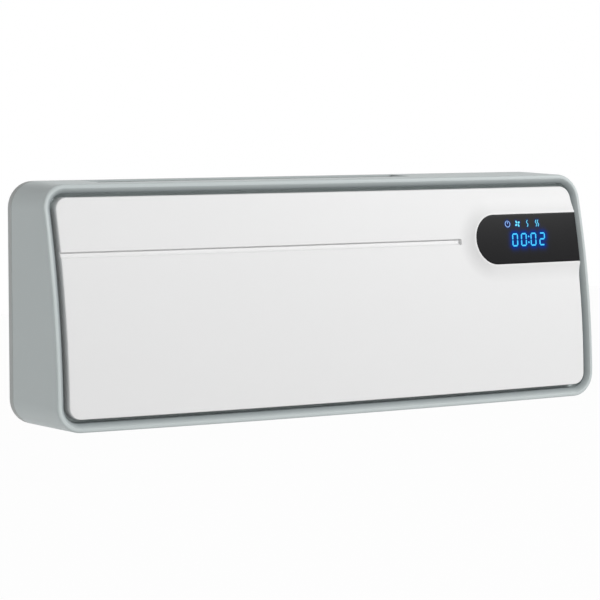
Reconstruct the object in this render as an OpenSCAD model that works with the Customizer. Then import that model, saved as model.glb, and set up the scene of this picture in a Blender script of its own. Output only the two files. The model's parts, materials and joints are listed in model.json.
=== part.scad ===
// Bathroom wall fan heater, in millimetres.
// The wall is the plane y = 0 and the front faces -Y. A depth d is a distance from the wall, so
// it lies at y = -d. X runs to the right as seen from the front, Z runs up, and the origin is in
// the middle of the back.

/* [Body] */
// Width of the body
body_w = 500; // [470:5:560]
// Height of the body
body_h = 186; // [180:1:206]
// Depth at the top edge, at the body's sides
depth_top = 54; // [52:0.5:62]
// Depth at the bottom edge, at the body's sides
depth_bottom = 80; // [78:0.5:92]
// How far the sides' front edge bows out between top and bottom
side_bulge = 7.2; // [6:0.1:10]
// How far the middle of the front stands out past its sides
crown = 8.4; // [4:0.1:12]
// Corner radius of the outline, seen from the front
corner_r = 20.4; // [18:0.1:26]
// How much smaller the outline is at the front than at the back
mould_draft = 1.1; // [0:0.1:2]
// Wall of the casing and of the rear cover
wall = 2.5; // [2:0.1:3]
// Depth of the rear cover, the strip around the back edge
cover_depth = 6; // [5:0.5:8]

/* [Rim and recess] */
// Radius of the rim's outer edge
rim_edge_r = 0.8; // [0.4:0.1:1.2]
// Width of the rim's front land
rim_land_w = 3.3; // [2.5:0.1:4]
// How much lower the land's inner edge lies
rim_land_fall = 0.5; // [0.2:0.1:1]
// Width of the slope inside the land
rim_slope_w = 2.2; // [1.5:0.1:3]
// Depth of the slope
rim_slope_d = 4; // [2:0.5:6]
// Depth of the recess behind the front panel
recess_d = 10.5; // [9.5:0.1:12]
// Thickness of the recess floor
floor_t = 2.2; // [1.8:0.1:3]

/* [Front panel] */
// Gap between the foot of the slope and the panel
panel_gap = 3.6; // [2.5:0.1:5]
// How far the panel's face lies behind the rim
panel_back = 0.4; // [0:0.1:1.5]
// Wall of the panel
panel_t = 2.5; // [2:0.1:3]
// Distance from the body's top to the groove's upper edge
groove_drop = 51.1; // [44:0.1:60]
// Depth of the groove at its upper edge
groove_d = 1.6; // [0.8:0.1:1.8]
// Height of the groove, over which it runs out to nothing
groove_h = 4.6; // [3:0.1:8]
// Distance from the groove's end to the display's rounded end
groove_to_display = 13.2; // [12:0.2:30]

/* [Display] */
// Height of the display window, which is also its round end's diameter
display_h = 40.3; // [38:0.1:46]
// Length of the window, from its round end to the panel's edge
display_len = 107.2; // [100:0.2:125]
// Distance from the body's top to the window's middle
display_drop = 52.5; // [50:0.5:58]
// How far the swelling around the window stands out
blister_h = 3; // [1:0.1:4]
// Width of the swelling's slope
blister_w = 11; // [6:0.5:12]
// Width of the level border around the window
border_w = 0.6; // [0.3:0.1:1]
// How far the window lies behind the border
window_back = 0.2; // [0:0.05:0.5]
// Height of a digit
digit_h = 11; // [8:0.5:14]
// Width of a digit
digit_w = 6.2; // [5:0.1:7]
// Width of a lit segment
segment_w = 1.25; // [0.8:0.05:1.6]
// Distance between two digits
digit_pitch = 9.4; // [8.5:0.1:11]
// Height of an icon
icon_h = 6; // [4:0.2:7]
// Distance between two icons
icon_pitch = 10.4; // [8:0.1:13]

/* [Fan] */
// Diameter of the fan rotor
fan_d = 48; // [42:0.5:50]
// Length of the fan rotor
fan_len = 270; // [240:5:290]
// Distance from the wall to the rotor's axis
fan_depth = 34; // [33:0.2:35]
// Distance from the body's top to the rotor's axis
fan_drop = 71; // [69:0.5:74]
// Number of blades
blade_count = 24; // [16:1:30]
// Thickness of a blade
blade_t = 1.1; // [0.8:0.1:1.6]
// Depth of the blade ring, from its outside to its inside
blade_ring = 6; // [4:0.5:8]
// Number of stiffening rings between the rotor's ends
ring_count = 4; // [2:1:6]
// Radius of the steel shaft and of the axle
shaft_r = 3; // [2.5:0.1:3.5]
// Distance from the casing's left side to the duct
duct_margin = 58; // [50:1:66]
// Thickness of the duct's sheets
sheet = 1.6; // [1.2:0.1:2]
// Thickness of the duct's ends
end_t = 2; // [1.6:0.1:2.5]
// Gap between the rotor's end and the duct's end
fan_end_gap = 5; // [4:0.5:8]
// Gap between the rotor and the scroll behind it
scroll_gap = 3.2; // [2:0.1:3.6]
// Gap between the rotor and the stabiliser's lip
lip_gap = 2.5; // [2:0.1:3]

/* [Motor] */
// Length of the stator's stack of laminations
stack_len = 18; // [14:1:22]
// Radius of the motor's rotor
rotor_r = 13.3; // [11:0.1:14]
// Air gap between rotor and stator
air_gap = 0.5; // [0.3:0.05:0.8]
// Half the width of the stator, from front to back
stator_half = 20; // [19:0.5:22]
// Height of the stator's upper leg over the axis
stator_top = 42; // [40:0.5:44]
// Thickness of the coil around the upper leg
coil_t = 5; // [3:0.5:5.5]
// Thickness of a motor bracket
bracket_t = 1.5; // [1.2:0.1:2]
// Distance between the duct's end and the inner bracket
motor_gap = 6; // [5:0.5:9]
// Distance between a bracket and the stator
stator_gap = 4.5; // [4:0.5:7]

/* [Heater] */
// Height of the heater in the air's direction
heater_h = 16; // [12:1:18]
// Distance from the heater to the guard under it
heater_lift = 4; // [3:0.5:8]
// Number of heating bars
bar_count = 3; // [2:1:4]
// Thickness of a heating bar
bar_t = 3; // [2.5:0.1:4]
// Length of a heater end block
block_len = 6; // [5:0.5:9]
// Distance between two fins
fin_pitch = 4; // [3:0.5:6]
// Thickness of a fin
fin_t = 0.5; // [0.4:0.1:0.8]

/* [Outlet] */
// Distance from the wall to the outlet frame
outlet_back = 10; // [9.6:0.2:12]
// Depth of the outlet frame from back to front
outlet_d = 52; // [50:0.5:53]
// Height of the outlet frame
outlet_h = 28; // [27:0.5:30]
// Wall of the outlet frame
outlet_wall = 2; // [1.8:0.1:2.4]
// Thickness of the guard over the outlet frame
guard_t = 2; // [1.5:0.1:3]
// Height of the louvre's axis over the underside
louvre_rise = 9; // [8.6:0.1:10]
// Thickness of the louvre at its axis
louvre_t = 4; // [3.6:0.1:5]
// Thickness of the louvre at its edges
louvre_tip = 1.6; // [1:0.1:2]
// Distance from the outlet's rear wall to the louvre's axis
louvre_back = 18; // [16:0.5:20]
// Radius of the louvre's pin and of its motor's shaft
pin_r = 2; // [1.8:0.1:2.2]
// Radius of the louvre motor
louvre_motor_r = 10.5; // [9:0.5:11]
// Distance from the louvre motor's centre to its shaft
louvre_motor_offset = 6; // [5:0.5:6.5]
// Length of the louvre motor
louvre_motor_len = 14; // [10:1:18]

/* [Intake] */
// Distance from the wall to the intake frame
intake_back = 9.6; // [9.4:0.2:11]
// Depth of the intake frame from back to front
intake_d = 29; // [26:0.5:30]
// Height of the intake frame
intake_h = 23; // [21:0.5:24]
// Wall of the intake frame
intake_wall = 1.8; // [1.5:0.1:2.2]
// Height of the filter cassette
cassette_h = 14; // [12:0.5:15]
// Wall of the filter cassette
cassette_wall = 1.6; // [1.2:0.1:2]
// Thickness of the cassette's grille
grille_t = 2; // [1.5:0.1:2.5]
// Distance between two bars of the grille
grille_pitch = 7; // [6:0.5:10]
// Width of a bar of the grille
grille_bar = 2.4; // [1.8:0.1:3]
// Distance between two threads of the mesh
mesh_pitch = 5; // [4:0.5:8]
// Thickness of a thread of the mesh
mesh_t = 0.5; // [0.4:0.1:0.8]

/* [Mounting] */
// Width of the wall bracket
bracket_w = 300; // [280:5:340]
// Height of the wall bracket
bracket_h = 70; // [66:1:80]
// Thickness of the wall bracket's steel
bracket_steel = 1.5; // [1.2:0.1:1.8]
// Depth of the rear cover's recess for the bracket
bracket_recess = 2; // [1.9:0.1:2.4]
// Height of the bracket's middle over the body's middle
bracket_z = 23; // [18:1:30]
// Radius of a wall screw's hole
wall_hole_r = 2.75; // [2.25:0.25:3.5]
// Distance between the wall screws, side to side
wall_hole_dx = 240; // [220:5:270]
// Distance between the wall screws, up and down
wall_hole_dz = 34; // [26:2:40]
// Distance between the two hooks
hook_dx = 160; // [120:5:190]
// Width of a hook
hook_w = 20; // [14:1:28]
// Height of a hook
hook_h = 9; // [7:0.5:11]

/* [Electronics] */
// Width of the control board
board_w = 88; // [82:1:90]
// Height of the control board
board_h = 112; // [100:1:116]
// Thickness of a circuit board
board_t = 1.6; // [1.2:0.1:2]
// Distance from the wall to the control board
board_depth = 12; // [11:0.5:14]
// Distance from the casing's right side to the control board
board_margin = 13; // [12:0.5:16]
// Width of a relay
relay_w = 19; // [16:0.5:20]
// Height of a relay
relay_h = 16; // [12:0.5:17]
// Thickness of a relay, off the board
relay_t = 15; // [10:0.5:17]
// Distance between two relays
relay_pitch = 22; // [20.5:0.1:22]
// Height of a terminal block
block_h = 9; // [7:0.5:12]
// Thickness of a terminal block, off the board
block_t = 10; // [8:0.5:12]
// Gap between two terminal blocks
block_gap = 4; // [2:0.5:6]
// Width of the filter capacitor
capacitor_w = 26; // [18:1:30]
// Height of the filter capacitor
capacitor_h = 10; // [7:0.5:11]
// Thickness of the filter capacitor, off the board
capacitor_t = 14; // [10:0.5:16]
// Radius of the buzzer
buzzer_r = 6; // [4:0.5:7]
// Thickness of the buzzer, off the board
buzzer_t = 9; // [5:0.5:10]
// Length of the display module
module_w = 56; // [50:1:60]
// Height of the display module
module_h = 24; // [20:0.5:25]
// Thickness of the display module
module_t = 2.4; // [2:0.1:3]
// Length of the display board
display_board_w = 86; // [78:1:88]
// Height of the display board
display_board_h = 32; // [30:0.5:33]

/* [Switch and gland] */
// Distance from the wall to the switch
switch_depth = 40; // [36:1:46]
// Height of the switch over the body's underside
switch_rise = 43; // [36:1:50]
// Height of the switch's bezel
switch_h = 23; // [21:0.5:26]
// Width of the switch's bezel
switch_w = 16; // [14:0.5:18]
// Depth of the pocket that the switch sits in
switch_pocket = 3; // [2.6:0.1:4]
// Angle between the rocker's off and on
rocker_swing = 16; // [10:1:18]
// Radius of the cord gland's bore
gland_bore_r = 3.9; // [3:0.1:4.5]
// Distance from the casing's right side to the gland
gland_margin = 50; // [44:1:70]
// Distance from the wall to the gland
gland_depth = 25; // [23:0.5:30]

/* [Screws and clearances] */
// Radius of a screw's shank
screw_r = 1.5; // [1.2:0.1:1.6]
// Radius of a screw's head
screw_head_r = 2.9; // [2.5:0.1:3.2]
// Height of a screw's head
screw_head_h = 2; // [1.6:0.1:2.4]
// Outer radius of a screw boss
boss_r = 4.2; // [3.8:0.1:4.8]
// Clearance around a shaft that turns
run_clear = 0.05; // [0.02:0.01:0.1]
// Clearance around a fixed piece in its seat
seat_clear = 0.15; // [0.1:0.05:0.3]
// Clearance around a piece that slides or swings
slide_clear = 0.4; // [0.3:0.05:0.6]

/* [Hidden] */
$fn = 48;

// Colours
grey = [0.64, 0.665, 0.665];
dark_grey = [0.55, 0.57, 0.57];
white = [0.92, 0.92, 0.92];
black = [0.08, 0.08, 0.085];
blue = [0.25, 0.7, 1];
steel = [0.72, 0.73, 0.75];
brass = [0.8, 0.65, 0.35];
copper = [0.72, 0.4, 0.2];
board_green = [0.1, 0.35, 0.2];

top_z = body_h/2;
bottom_z = -body_h/2;
side_x = body_w/2;
small = 0.01;
groove_z = top_z - groove_drop;
display_z = top_z - display_drop;
// Depths that a cut through the front starts and ends at, clear of it on both sides
cut_d = [depth_top/2, depth_bottom + side_bulge + crown + 10];

// The duct's ends and walls, and the motor's places along x
duct_x0 = -side_x + duct_margin;
duct_x1 = duct_x0 + fan_len + 2*fan_end_gap + 2*end_t;
inner_x0 = duct_x0 + end_t;
inner_x1 = duct_x1 - end_t;
fan_z = top_z - fan_drop;
fan_r = fan_d/2;
outlet_rim = bottom_z + 1;
outlet_top = outlet_rim + outlet_h;
duct_bottom = outlet_top + guard_t;
intake_top = top_z - mould_draft - 0.3;
intake_bottom = intake_top - intake_h;
scroll_d = fan_depth - fan_r - scroll_gap;
front_wall_d = outlet_back + outlet_d - outlet_wall;
duct_clear = 0.6;
inner_bracket_x = duct_x1 + motor_gap;
stator_x0 = inner_bracket_x + bracket_t + stator_gap;
stator_x1 = stator_x0 + stack_len;
outer_bracket_x = stator_x1 + stator_gap;
motor_x1 = outer_bracket_x + bracket_t;

// ---- Front surface -------------------------------------------------------------------------

function front_depth(x, z) =
    let (s = (z - bottom_z)/body_h)
    depth_bottom + (depth_top - depth_bottom)*s + 4*side_bulge*s*(1 - s)
    + crown*(1 - pow(2*x/body_w, 2));
function recess_depth(x, z) = front_depth(x, z) - recess_d;
function floor_depth(x, z) = recess_depth(x, z) - floor_t;

// Insets of the rim's lines from the outline at the back
rim_in = mould_draft;
land_out = rim_in + rim_edge_r;
land_in = land_out + rim_land_w;
slope_in = land_in + rim_slope_w;
recess_in = slope_in + 0.3;
panel_in = slope_in + panel_gap;

corner_steps = 6;
long_steps = 12;
short_steps = 6;

function arc(cx, cz, r, from) =
    [for (i = [0:corner_steps]) let (a = from + 90*i/corner_steps) [cx + r*cos(a), cz + r*sin(a)]];
function between(p, q, steps) = [for (i = [1:steps - 1]) p + (q - p)*i/steps];
// Rounded rectangle, inset from the body's outline, as points around the middle
function outline(inset) =
    let (a = side_x - inset, b = top_z - inset, r = max(corner_r - inset, 1.5),
        ne = arc(a - r, b - r, r, 0), nw = arc(-a + r, b - r, r, 90),
        sw = arc(-a + r, -b + r, r, 180), se = arc(a - r, -b + r, r, 270))
    concat(ne, between(ne[corner_steps], nw[0], long_steps),
        nw, between(nw[corner_steps], sw[0], short_steps),
        sw, between(sw[corner_steps], se[0], long_steps),
        se, between(se[corner_steps], ne[0], short_steps));
function flat_ring(inset, d) = [for (p = outline(inset)) [p[0], -d, p[1]]];
function front_ring(inset, back) =
    [for (p = outline(inset)) [p[0], back - front_depth(p[0], p[1]), p[1]]];

// Solid between a run of rings with equal numbers of points, closed by the first and the last
module skin(rings) {
    n = len(rings[0]);
    m = len(rings);
    polyhedron(
        points = [for (ring = rings) each ring],
        faces = concat(
            [[for (i = [n - 1:-1:0]) i]],
            [[for (i = [0:n - 1]) (m - 1)*n + i]],
            [for (j = [0:m - 2], i = [0:n - 1])
                let (a = j*n + i, b = j*n + (i + 1)%n) each [[a, b, a + n], [b, b + n, a + n]]]));
}

// Solid between two surfaces given as depths over a grid of x and z
module sheet_solid(xs, zs, front, back) {
    n = len(xs);
    m = len(zs);
    polyhedron(
        points = concat(
            [for (z = zs, x = xs) [x, -front(x, z), z]],
            [for (z = zs, x = xs) [x, -back(x, z), z]]),
        faces = concat(
            [for (j = [0:m - 2], i = [0:n - 2])
                let (a = j*n + i) each [[a, a + n, a + 1], [a + 1, a + n, a + n + 1]]],
            [for (j = [0:m - 2], i = [0:n - 2])
                let (a = n*m + j*n + i) each [[a, a + 1, a + n], [a + 1, a + n + 1, a + n]]],
            [for (i = [0:n - 2])
                let (a = i, b = n*m + i) each [[a, a + 1, b], [a + 1, b + 1, b]]],
            [for (i = [0:n - 2])
                let (a = n*(m - 1) + i, b = n*m + a) each [[a, b, a + 1], [a + 1, b, b + 1]]],
            [for (j = [0:m - 2])
                let (a = n*j, b = n*m + a) each [[a, b, a + n], [a + n, b, b + n]]],
            [for (j = [0:m - 2])
                let (a = n*j + n - 1, b = n*m + a) each [[a, a + n, b], [a + n, b + n, b]]]));
}

// ---- Placing ---------------------------------------------------------------------------------

// Box from ranges of x, depth and z
module box(x, d, z) {
    translate([x[0], -d[1], z[0]]) cube([x[1] - x[0], d[1] - d[0], z[1] - z[0]]);
}
// Outline drawn in x and z, made solid between two depths
module across(d0, d1) {
    translate([0, -d0, 0]) rotate([90, 0, 0]) linear_extrude(d1 - d0) children();
}
// Outline drawn in depth and z, made solid between two places along x
module along(x0, x1) {
    translate([x0, 0, 0]) rotate([90, 0, 90]) linear_extrude(x1 - x0) mirror([1, 0]) children();
}
// Rod along x, y or z
module rod_x(x0, x1, d, z, r) {
    translate([x0, -d, z]) rotate([0, 90, 0]) cylinder(r = r, h = x1 - x0);
}
module rod_y(d0, d1, x, z, r) {
    translate([x, -d0, z]) rotate([90, 0, 0]) cylinder(r = r, h = d1 - d0);
}
module rod_z(z0, z1, x, d, r) {
    translate([x, -d, z0]) cylinder(r = r, h = z1 - z0);
}
module rounded(w, h, r) {
    square([w - 2*r, h], center = true);
    square([w, h - 2*r], center = true);
    for (sx = [-1, 1], sz = [-1, 1]) translate([sx*(w/2 - r), sz*(h/2 - r)]) circle(r);
}
module outline_2d(inset) {
    rounded(body_w - 2*inset, body_h - 2*inset, corner_r - inset);
}
// Screw whose shank runs towards the front from its head's seat at depth d
module screw_forward(x, z, d, len) {
    rod_y(d - screw_head_h, d, x, z, screw_head_r);
    rod_y(d, d + len, x, z, screw_r);
}
// Screw whose shank runs along x from its head's seat
module screw_x(x, d, z, len) {
    rod_x(x - (len > 0 ? screw_head_h : 0), x + (len > 0 ? 0 : screw_head_h), d, z, screw_head_r);
    rod_x(min(x, x + len), max(x, x + len), d, z, screw_r);
}

// ---- Wall bracket, rear cover and casing ------------------------------------------------------

cover_floor_in = bracket_recess + wall;
// The hooks' upright legs stand in front of the rear cover's recess wall
hook_gap = 0.3;
hook_top = bracket_z + bracket_h/2 - 14;
slot_h = hook_h + 2*bracket_steel + 2;
tongue_d = 3;
tongue_in = wall + 0.3;
screw_len = 14;
counterbore_d = 5;
post_d = 10;
// Cover screws: how far they stand in from the sides, and from the top or the underside
cover_screw_in = 12;
cover_screw_rise = 17;
cover_screw_x = side_x - cover_screw_in;
cover_screw_z = top_z - cover_screw_rise;
cover_screw_at = [
    [cover_screw_x, cover_screw_z], [cover_screw_x, -cover_screw_z],
    [-cover_screw_x, cover_screw_z], [-cover_screw_x, -cover_screw_z],
    [-side_x + duct_margin - 22, 0], [motor_x1 + cover_screw_in, -cover_screw_z]];
// Panel screws: the last one stands higher, over the display
panel_screw_x = side_x - 35;
panel_screw_z = [bottom_z + 33, top_z - 31];
panel_screw_at = concat(
    [for (z = panel_screw_z, x = [-panel_screw_x, 0]) [x, z]],
    [[panel_screw_x, panel_screw_z[0]], [side_x - 38, top_z - 20]]);

module wall_bracket() color(steel) {
    difference() {
        across(0, bracket_steel) translate([0, bracket_z]) rounded(bracket_w, bracket_h, 6);
        for (sx = [-1, 1], sz = [-1, 1])
            rod_y(-1, bracket_steel + 1, sx*wall_hole_dx/2, bracket_z + sz*wall_hole_dz/2,
                wall_hole_r);
    }
    for (sx = [-1, 1]) {
        x = [sx*hook_dx/2 - hook_w/2, sx*hook_dx/2 + hook_w/2];
        d = cover_floor_in + hook_gap;
        box(x, [bracket_steel - small, d + bracket_steel], [hook_top - bracket_steel, hook_top]);
        box(x, [d, d + bracket_steel], [hook_top - small, hook_top + hook_h]);
    }
}

module rear_cover() color(dark_grey) {
    difference() {
        union() {
            across(0, cover_depth) difference() {
                outline_2d(0);
                outline_2d(wall);
            }
            across(0, wall) outline_2d(wall - small);
            across(wall - small, cover_depth + tongue_d) difference() {
                outline_2d(tongue_in);
                outline_2d(tongue_in + 1.8);
            }
            across(wall - small, cover_floor_in) translate([0, bracket_z])
                rounded(bracket_w + 2*wall + 3, bracket_h + 2*wall + 3, 6 + wall);
            for (p = cover_screw_at) rod_y(wall - small, post_d, p[0], p[1], boss_r);
            for (p = board_screw_at) rod_y(wall - small, board_depth, p[0], p[1], boss_r - 1);
        }
        across(-1, bracket_recess) translate([0, bracket_z])
            rounded(bracket_w + 3, bracket_h + 3, 6);
        for (sx = [-1, 1])
            box([sx*hook_dx/2 - hook_w/2 - 1, sx*hook_dx/2 + hook_w/2 + 1],
                [bracket_recess - 1, cover_floor_in + 1], [hook_top - slot_h, hook_top]);
        for (p = cover_screw_at) {
            rod_y(-1, counterbore_d, p[0], p[1], screw_head_r + seat_clear);
            rod_y(-1, post_d + 1, p[0], p[1], screw_r + seat_clear);
        }
        for (p = board_screw_at) rod_y(wall, board_depth + 1, p[0], p[1], screw_r);
    }
}

module cover_screws() color(steel) {
    for (p = cover_screw_at) screw_forward(p[0], p[1], counterbore_d, screw_len);
}

floor_pad = 1;
// Insets of the lines that carry the curve of the recess floor
floor_in = [for (share = [0.95, 0.62, 0.32]) share*top_z];

module casing() color(grey) {
    floor_back = recess_d + floor_t;
    difference() {
        union() {
            skin([for (inset = floor_in) front_ring(inset, recess_d),
                front_ring(recess_in, recess_d), front_ring(slope_in, rim_slope_d),
                front_ring(land_in, rim_land_fall), front_ring(land_out, 0),
                front_ring(rim_in + 0.3*rim_edge_r, 0.3*rim_edge_r),
                front_ring(rim_in, rim_edge_r), flat_ring(0, cover_depth),
                flat_ring(wall, cover_depth), front_ring(rim_in + wall, floor_back),
                for (i = [2, 1, 0]) front_ring(floor_in[i], floor_back)]);
            for (p = cover_screw_at)
                rod_y(post_d, recess_depth(p[0], p[1]) - 1, p[0], p[1], boss_r);
            for (p = panel_screw_at)
                rod_y(floor_depth(p[0], p[1]) - floor_pad, recess_depth(p[0], p[1]) + floor_pad,
                    p[0], p[1], boss_r);
            box(switch_block_x, switch_block_d, switch_block_z);
            rod_z(bottom_z + 1.6, bottom_z + gland_boss, gland_x, gland_depth,
                gland_flange_r + 1.6);
        }
        for (p = cover_screw_at) rod_y(post_d - 1, post_d + 12, p[0], p[1], screw_r);
        for (p = panel_screw_at)
            rod_y(floor_depth(p[0], p[1]) - 5, recess_depth(p[0], p[1]) + 3, p[0], p[1],
                screw_r + seat_clear);
        // Openings in the top, the underside, the right side and the recess floor
        box(frame_x(-seat_clear), [intake_back - seat_clear, intake_back + intake_d + seat_clear],
            [top_z - 8, top_z + 1]);
        box(frame_x(-seat_clear), [outlet_back - seat_clear, outlet_back + outlet_d + seat_clear],
            [bottom_z - 1, bottom_z + 8]);
        box([side_x - switch_pocket, side_x + 1], switch_slot(switch_w), switch_slot_z(switch_h));
        box([side_x - 12, side_x + 1], switch_slot(switch_body_w), switch_slot_z(switch_body_h));
        rod_z(bottom_z - 1, bottom_z + gland_flange_t + draft_at_gland, gland_x, gland_depth,
            gland_flange_r + seat_clear);
        rod_z(bottom_z - 1, bottom_z + 12, gland_x, gland_depth, gland_body_r + seat_clear);
        rod_y(floor_depth(cable_hole[0], cable_hole[1]) - floor_pad,
            recess_depth(cable_hole[0], cable_hole[1]) + floor_pad, cable_hole[0], cable_hole[1],
            cable_hole_r);
    }
}

module panel_screws() color(steel) {
    for (p = panel_screw_at)
        screw_forward(p[0], p[1], floor_depth(p[0], p[1]) - floor_pad, floor_t + 2*floor_pad + 4);
}

// ---- Front panel and display ------------------------------------------------------------------

panel_half_w = side_x - panel_in;
panel_half_h = top_z - panel_in;
display_r = display_h/2;
display_x0 = panel_half_w - display_len;
display_cx = display_x0 + display_r;
groove_x = display_x0 - groove_to_display;

function display_distance(x, z) =
    (x < display_cx ? norm([x - display_cx, z - display_z]) : abs(z - display_z)) - display_r;
function blister(x, z) =
    let (t = min(1, max(0, 1 - (display_distance(x, z) - border_w)/blister_w)))
    blister_h*t*t;
function groove(x, z) =
    x > groove_x || z > groove_z - small/2 || z < groove_z - groove_h ? 0
    : groove_d*(1 - (groove_z - z)/groove_h);
function panel_face(x, z) = front_depth(x, z) - panel_back + blister(x, z);
function window_face(x, z) = front_depth(x, z) - panel_back + blister_h - window_back;
function panel_skirt(x, z) = recess_depth(x, z) + 0.3;

function steps(a, b, n) = [for (i = [0:n - 1]) a + (b - a)*i/n];
blister_reach = border_w + blister_w;
panel_xs = concat(
    steps(-panel_half_w - 1, groove_x, 10), [groove_x, groove_x + 0.1],
    steps(display_x0 - blister_reach, display_cx, 11),
    steps(display_cx, panel_half_w + 1, 4), [panel_half_w + 1]);
blister_bottom = display_z - display_r - blister_reach;
blister_top = display_z + display_r + blister_reach;
panel_zs = concat(
    steps(-panel_half_h - 1, blister_bottom, 5),
    steps(blister_bottom, groove_z - groove_h, 10),
    [groove_z - groove_h, groove_z - small, groove_z],
    steps(groove_z + 3, blister_top, 10), [blister_top, panel_half_h + 1]);

module panel_outline(inset) {
    rounded(2*(panel_half_w - inset), 2*(panel_half_h - inset), corner_r - panel_in - inset*0.5);
}
// Outline of the window: a round left end, and straight to well past the panel's edge
module display_2d(clear) {
    translate([display_cx, display_z]) circle(display_r - clear);
    translate([display_cx, display_z - display_r + clear])
        square([display_len, display_h - 2*clear]);
}

module front_panel() color(white) {
    difference() {
        intersection() {
            sheet_solid(panel_xs, panel_zs, function (x, z) panel_face(x, z) - groove(x, z),
                function (x, z) panel_skirt(x, z));
            across(cut_d[0], cut_d[1]) panel_outline(0);
        }
        intersection() {
            sheet_solid(panel_xs, panel_zs, function (x, z) panel_face(x, z) - panel_t,
                function (x, z) panel_skirt(x, z) - 3);
            across(cut_d[0], cut_d[1]) panel_outline(panel_t);
        }
        intersection() {
            sheet_solid(window_xs, window_zs, function (x, z) window_face(x, z) + 1,
                function (x, z) window_face(x, z) - panel_t);
            across(cut_d[0], cut_d[1]) display_2d(0);
        }
    }
    for (p = panel_screw_at) difference() {
        d0 = recess_depth(p[0], p[1]) + floor_pad;
        rod_y(d0, panel_face(p[0], p[1]) - panel_t/2, p[0], p[1], boss_r);
        rod_y(d0 - 1, d0 + 5, p[0], p[1], screw_r);
    }
}

window_xs = concat(steps(display_x0 - 1, panel_half_w + 2, 8), [panel_half_w + 2]);
window_zs = concat(steps(display_z - display_r - 1, display_z + display_r + 1, 6),
    [display_z + display_r + 1]);

// Frame of the display: its origin is on the border's level, its y runs inwards
view_x = display_cx + 34.2;
slope_x = front_depth(view_x + 0.5, display_z) - front_depth(view_x - 0.5, display_z);
slope_z = front_depth(view_x, display_z + 0.5) - front_depth(view_x, display_z - 0.5);
module on_display() {
    translate([view_x, -(front_depth(view_x, display_z) - panel_back + blister_h), display_z])
        rotate([atan(slope_z), 0, atan(-slope_x)]) children();
}
// How far the curved window falls behind the flat display frame, at a place on it
function sag(x, z) =
    crown*pow(2*x/body_w, 2) + 4*side_bulge*pow(z/body_h, 2);
module inwards(y0, y1) {
    translate([0, y1, 0]) rotate([90, 0, 0]) linear_extrude(y1 - y0) children();
}

guide_proud = 0.04;
guide_len = 3.4;
digit_z = -0.8;
icon_z = 12.5;
icon_shift = 0.4;
digit_slant = 0.09;
digit_places = [-1.53, -0.55, 0.53, 1.52];
digit_segments = [[1, 1, 1, 1, 1, 1, 0], [1, 1, 1, 1, 1, 1, 0], [1, 1, 1, 1, 1, 1, 0],
    [1, 1, 0, 1, 1, 0, 1]];

// Hexagonal segment between two ends, leaning with the digit
module segment(p, q) {
    t = segment_w/2;
    u = (q - p)/norm(q - p);
    n = [-u[1], u[0]];
    a = p + 0.12*u;
    b = q - 0.12*u;
    pts = [a, a + t*(u + n), b + t*(n - u), b, b - t*(u + n), a + t*(u - n)];
    polygon([for (c = pts) [c[0] + digit_slant*c[1], c[1]]]);
}
module digit(on) {
    x = (digit_w - segment_w)/2;
    z = (digit_h - segment_w)/2;
    ends = [[[-x, z], [x, z]], [[x, z], [x, 0]], [[x, 0], [x, -z]], [[-x, -z], [x, -z]],
        [[-x, 0], [-x, -z]], [[-x, z], [-x, 0]], [[-x, 0], [x, 0]]];
    for (i = [0:6]) if (on[i] == 1) segment(ends[i][0], ends[i][1]);
}
module digits_2d() {
    translate([0, digit_z]) {
        for (i = [0:3]) translate([digit_places[i]*digit_pitch, 0]) digit(digit_segments[i]);
        for (s = [-1, 1]) translate([s*2.4*digit_slant, s*2.4]) circle(0.75);
    }
}

module display_digits() color(blue) on_display()
    inwards(window_back - guide_proud, guide_len) digits_2d();

icon_names = ["power", "fan", "warm", "hot"];
icon_x = [-2, -1, 0, 1];
icon_stroke = 0.6;
wave_swing = 0.6;
wave_turns = 1.24;
wave_gap = 2;
function wave_at(u) = [-wave_swing*sin(360*wave_turns*u), u*(icon_h - icon_stroke)];
module wave_2d() {
    for (u = [-0.5:0.1:0.45]) hull() {
        translate(wave_at(u)) circle(d = icon_stroke, $fn = 12);
        translate(wave_at(u + 0.1)) circle(d = icon_stroke, $fn = 12);
    }
}
module icon_2d(name) {
    r = icon_h/2;
    if (name == "power") {
        difference() {
            circle(r - 0.3);
            circle(r - 0.85);
            translate([-0.9, 0]) square([1.8, r]);
        }
        translate([-0.28, 0.1]) square([0.56, r - 0.1]);
    }
    if (name == "fan") for (a = [25:90:295]) rotate(a)
        translate([0.58*r, 0.1*r]) scale([1, 0.68]) circle(0.4*r, $fn = 24);
    if (name == "warm") wave_2d();
    if (name == "hot") for (s = [-0.5, 0.5]) translate([s*wave_gap, 0]) wave_2d();
}
module icons_2d() {
    for (i = [0:3]) translate([icon_x[i]*icon_pitch + icon_shift, icon_z]) icon_2d(icon_names[i]);
}
icon_y = window_back + sag(icon_pitch, icon_z) - guide_proud;
module display_icons() color(blue) on_display() inwards(icon_y, guide_len) icons_2d();

module display_window() color(black) {
    difference() {
        intersection() {
            sheet_solid(window_xs, window_zs, function (x, z) window_face(x, z),
                function (x, z) window_face(x, z) - panel_t + 0.05);
            across(cut_d[0], cut_d[1]) intersection() {
                display_2d(seat_clear);
                panel_outline(0);
            }
        }
        on_display() inwards(-1, guide_len + 1) digits_2d();
        on_display() inwards(-1, guide_len + 1) icons_2d();
    }
}

module_y = guide_len;
display_board_y = module_y + module_t;
module display_module() color(black) on_display()
    inwards(module_y, display_board_y) translate([-1, (display_board_h - module_h)/2])
        square([module_w, module_h], center = true);

module display_board() color(board_green) on_display()
    inwards(display_board_y, display_board_y + board_t)
        translate([display_board_shift, 0]) square([display_board_w, display_board_h], center = true);

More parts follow.
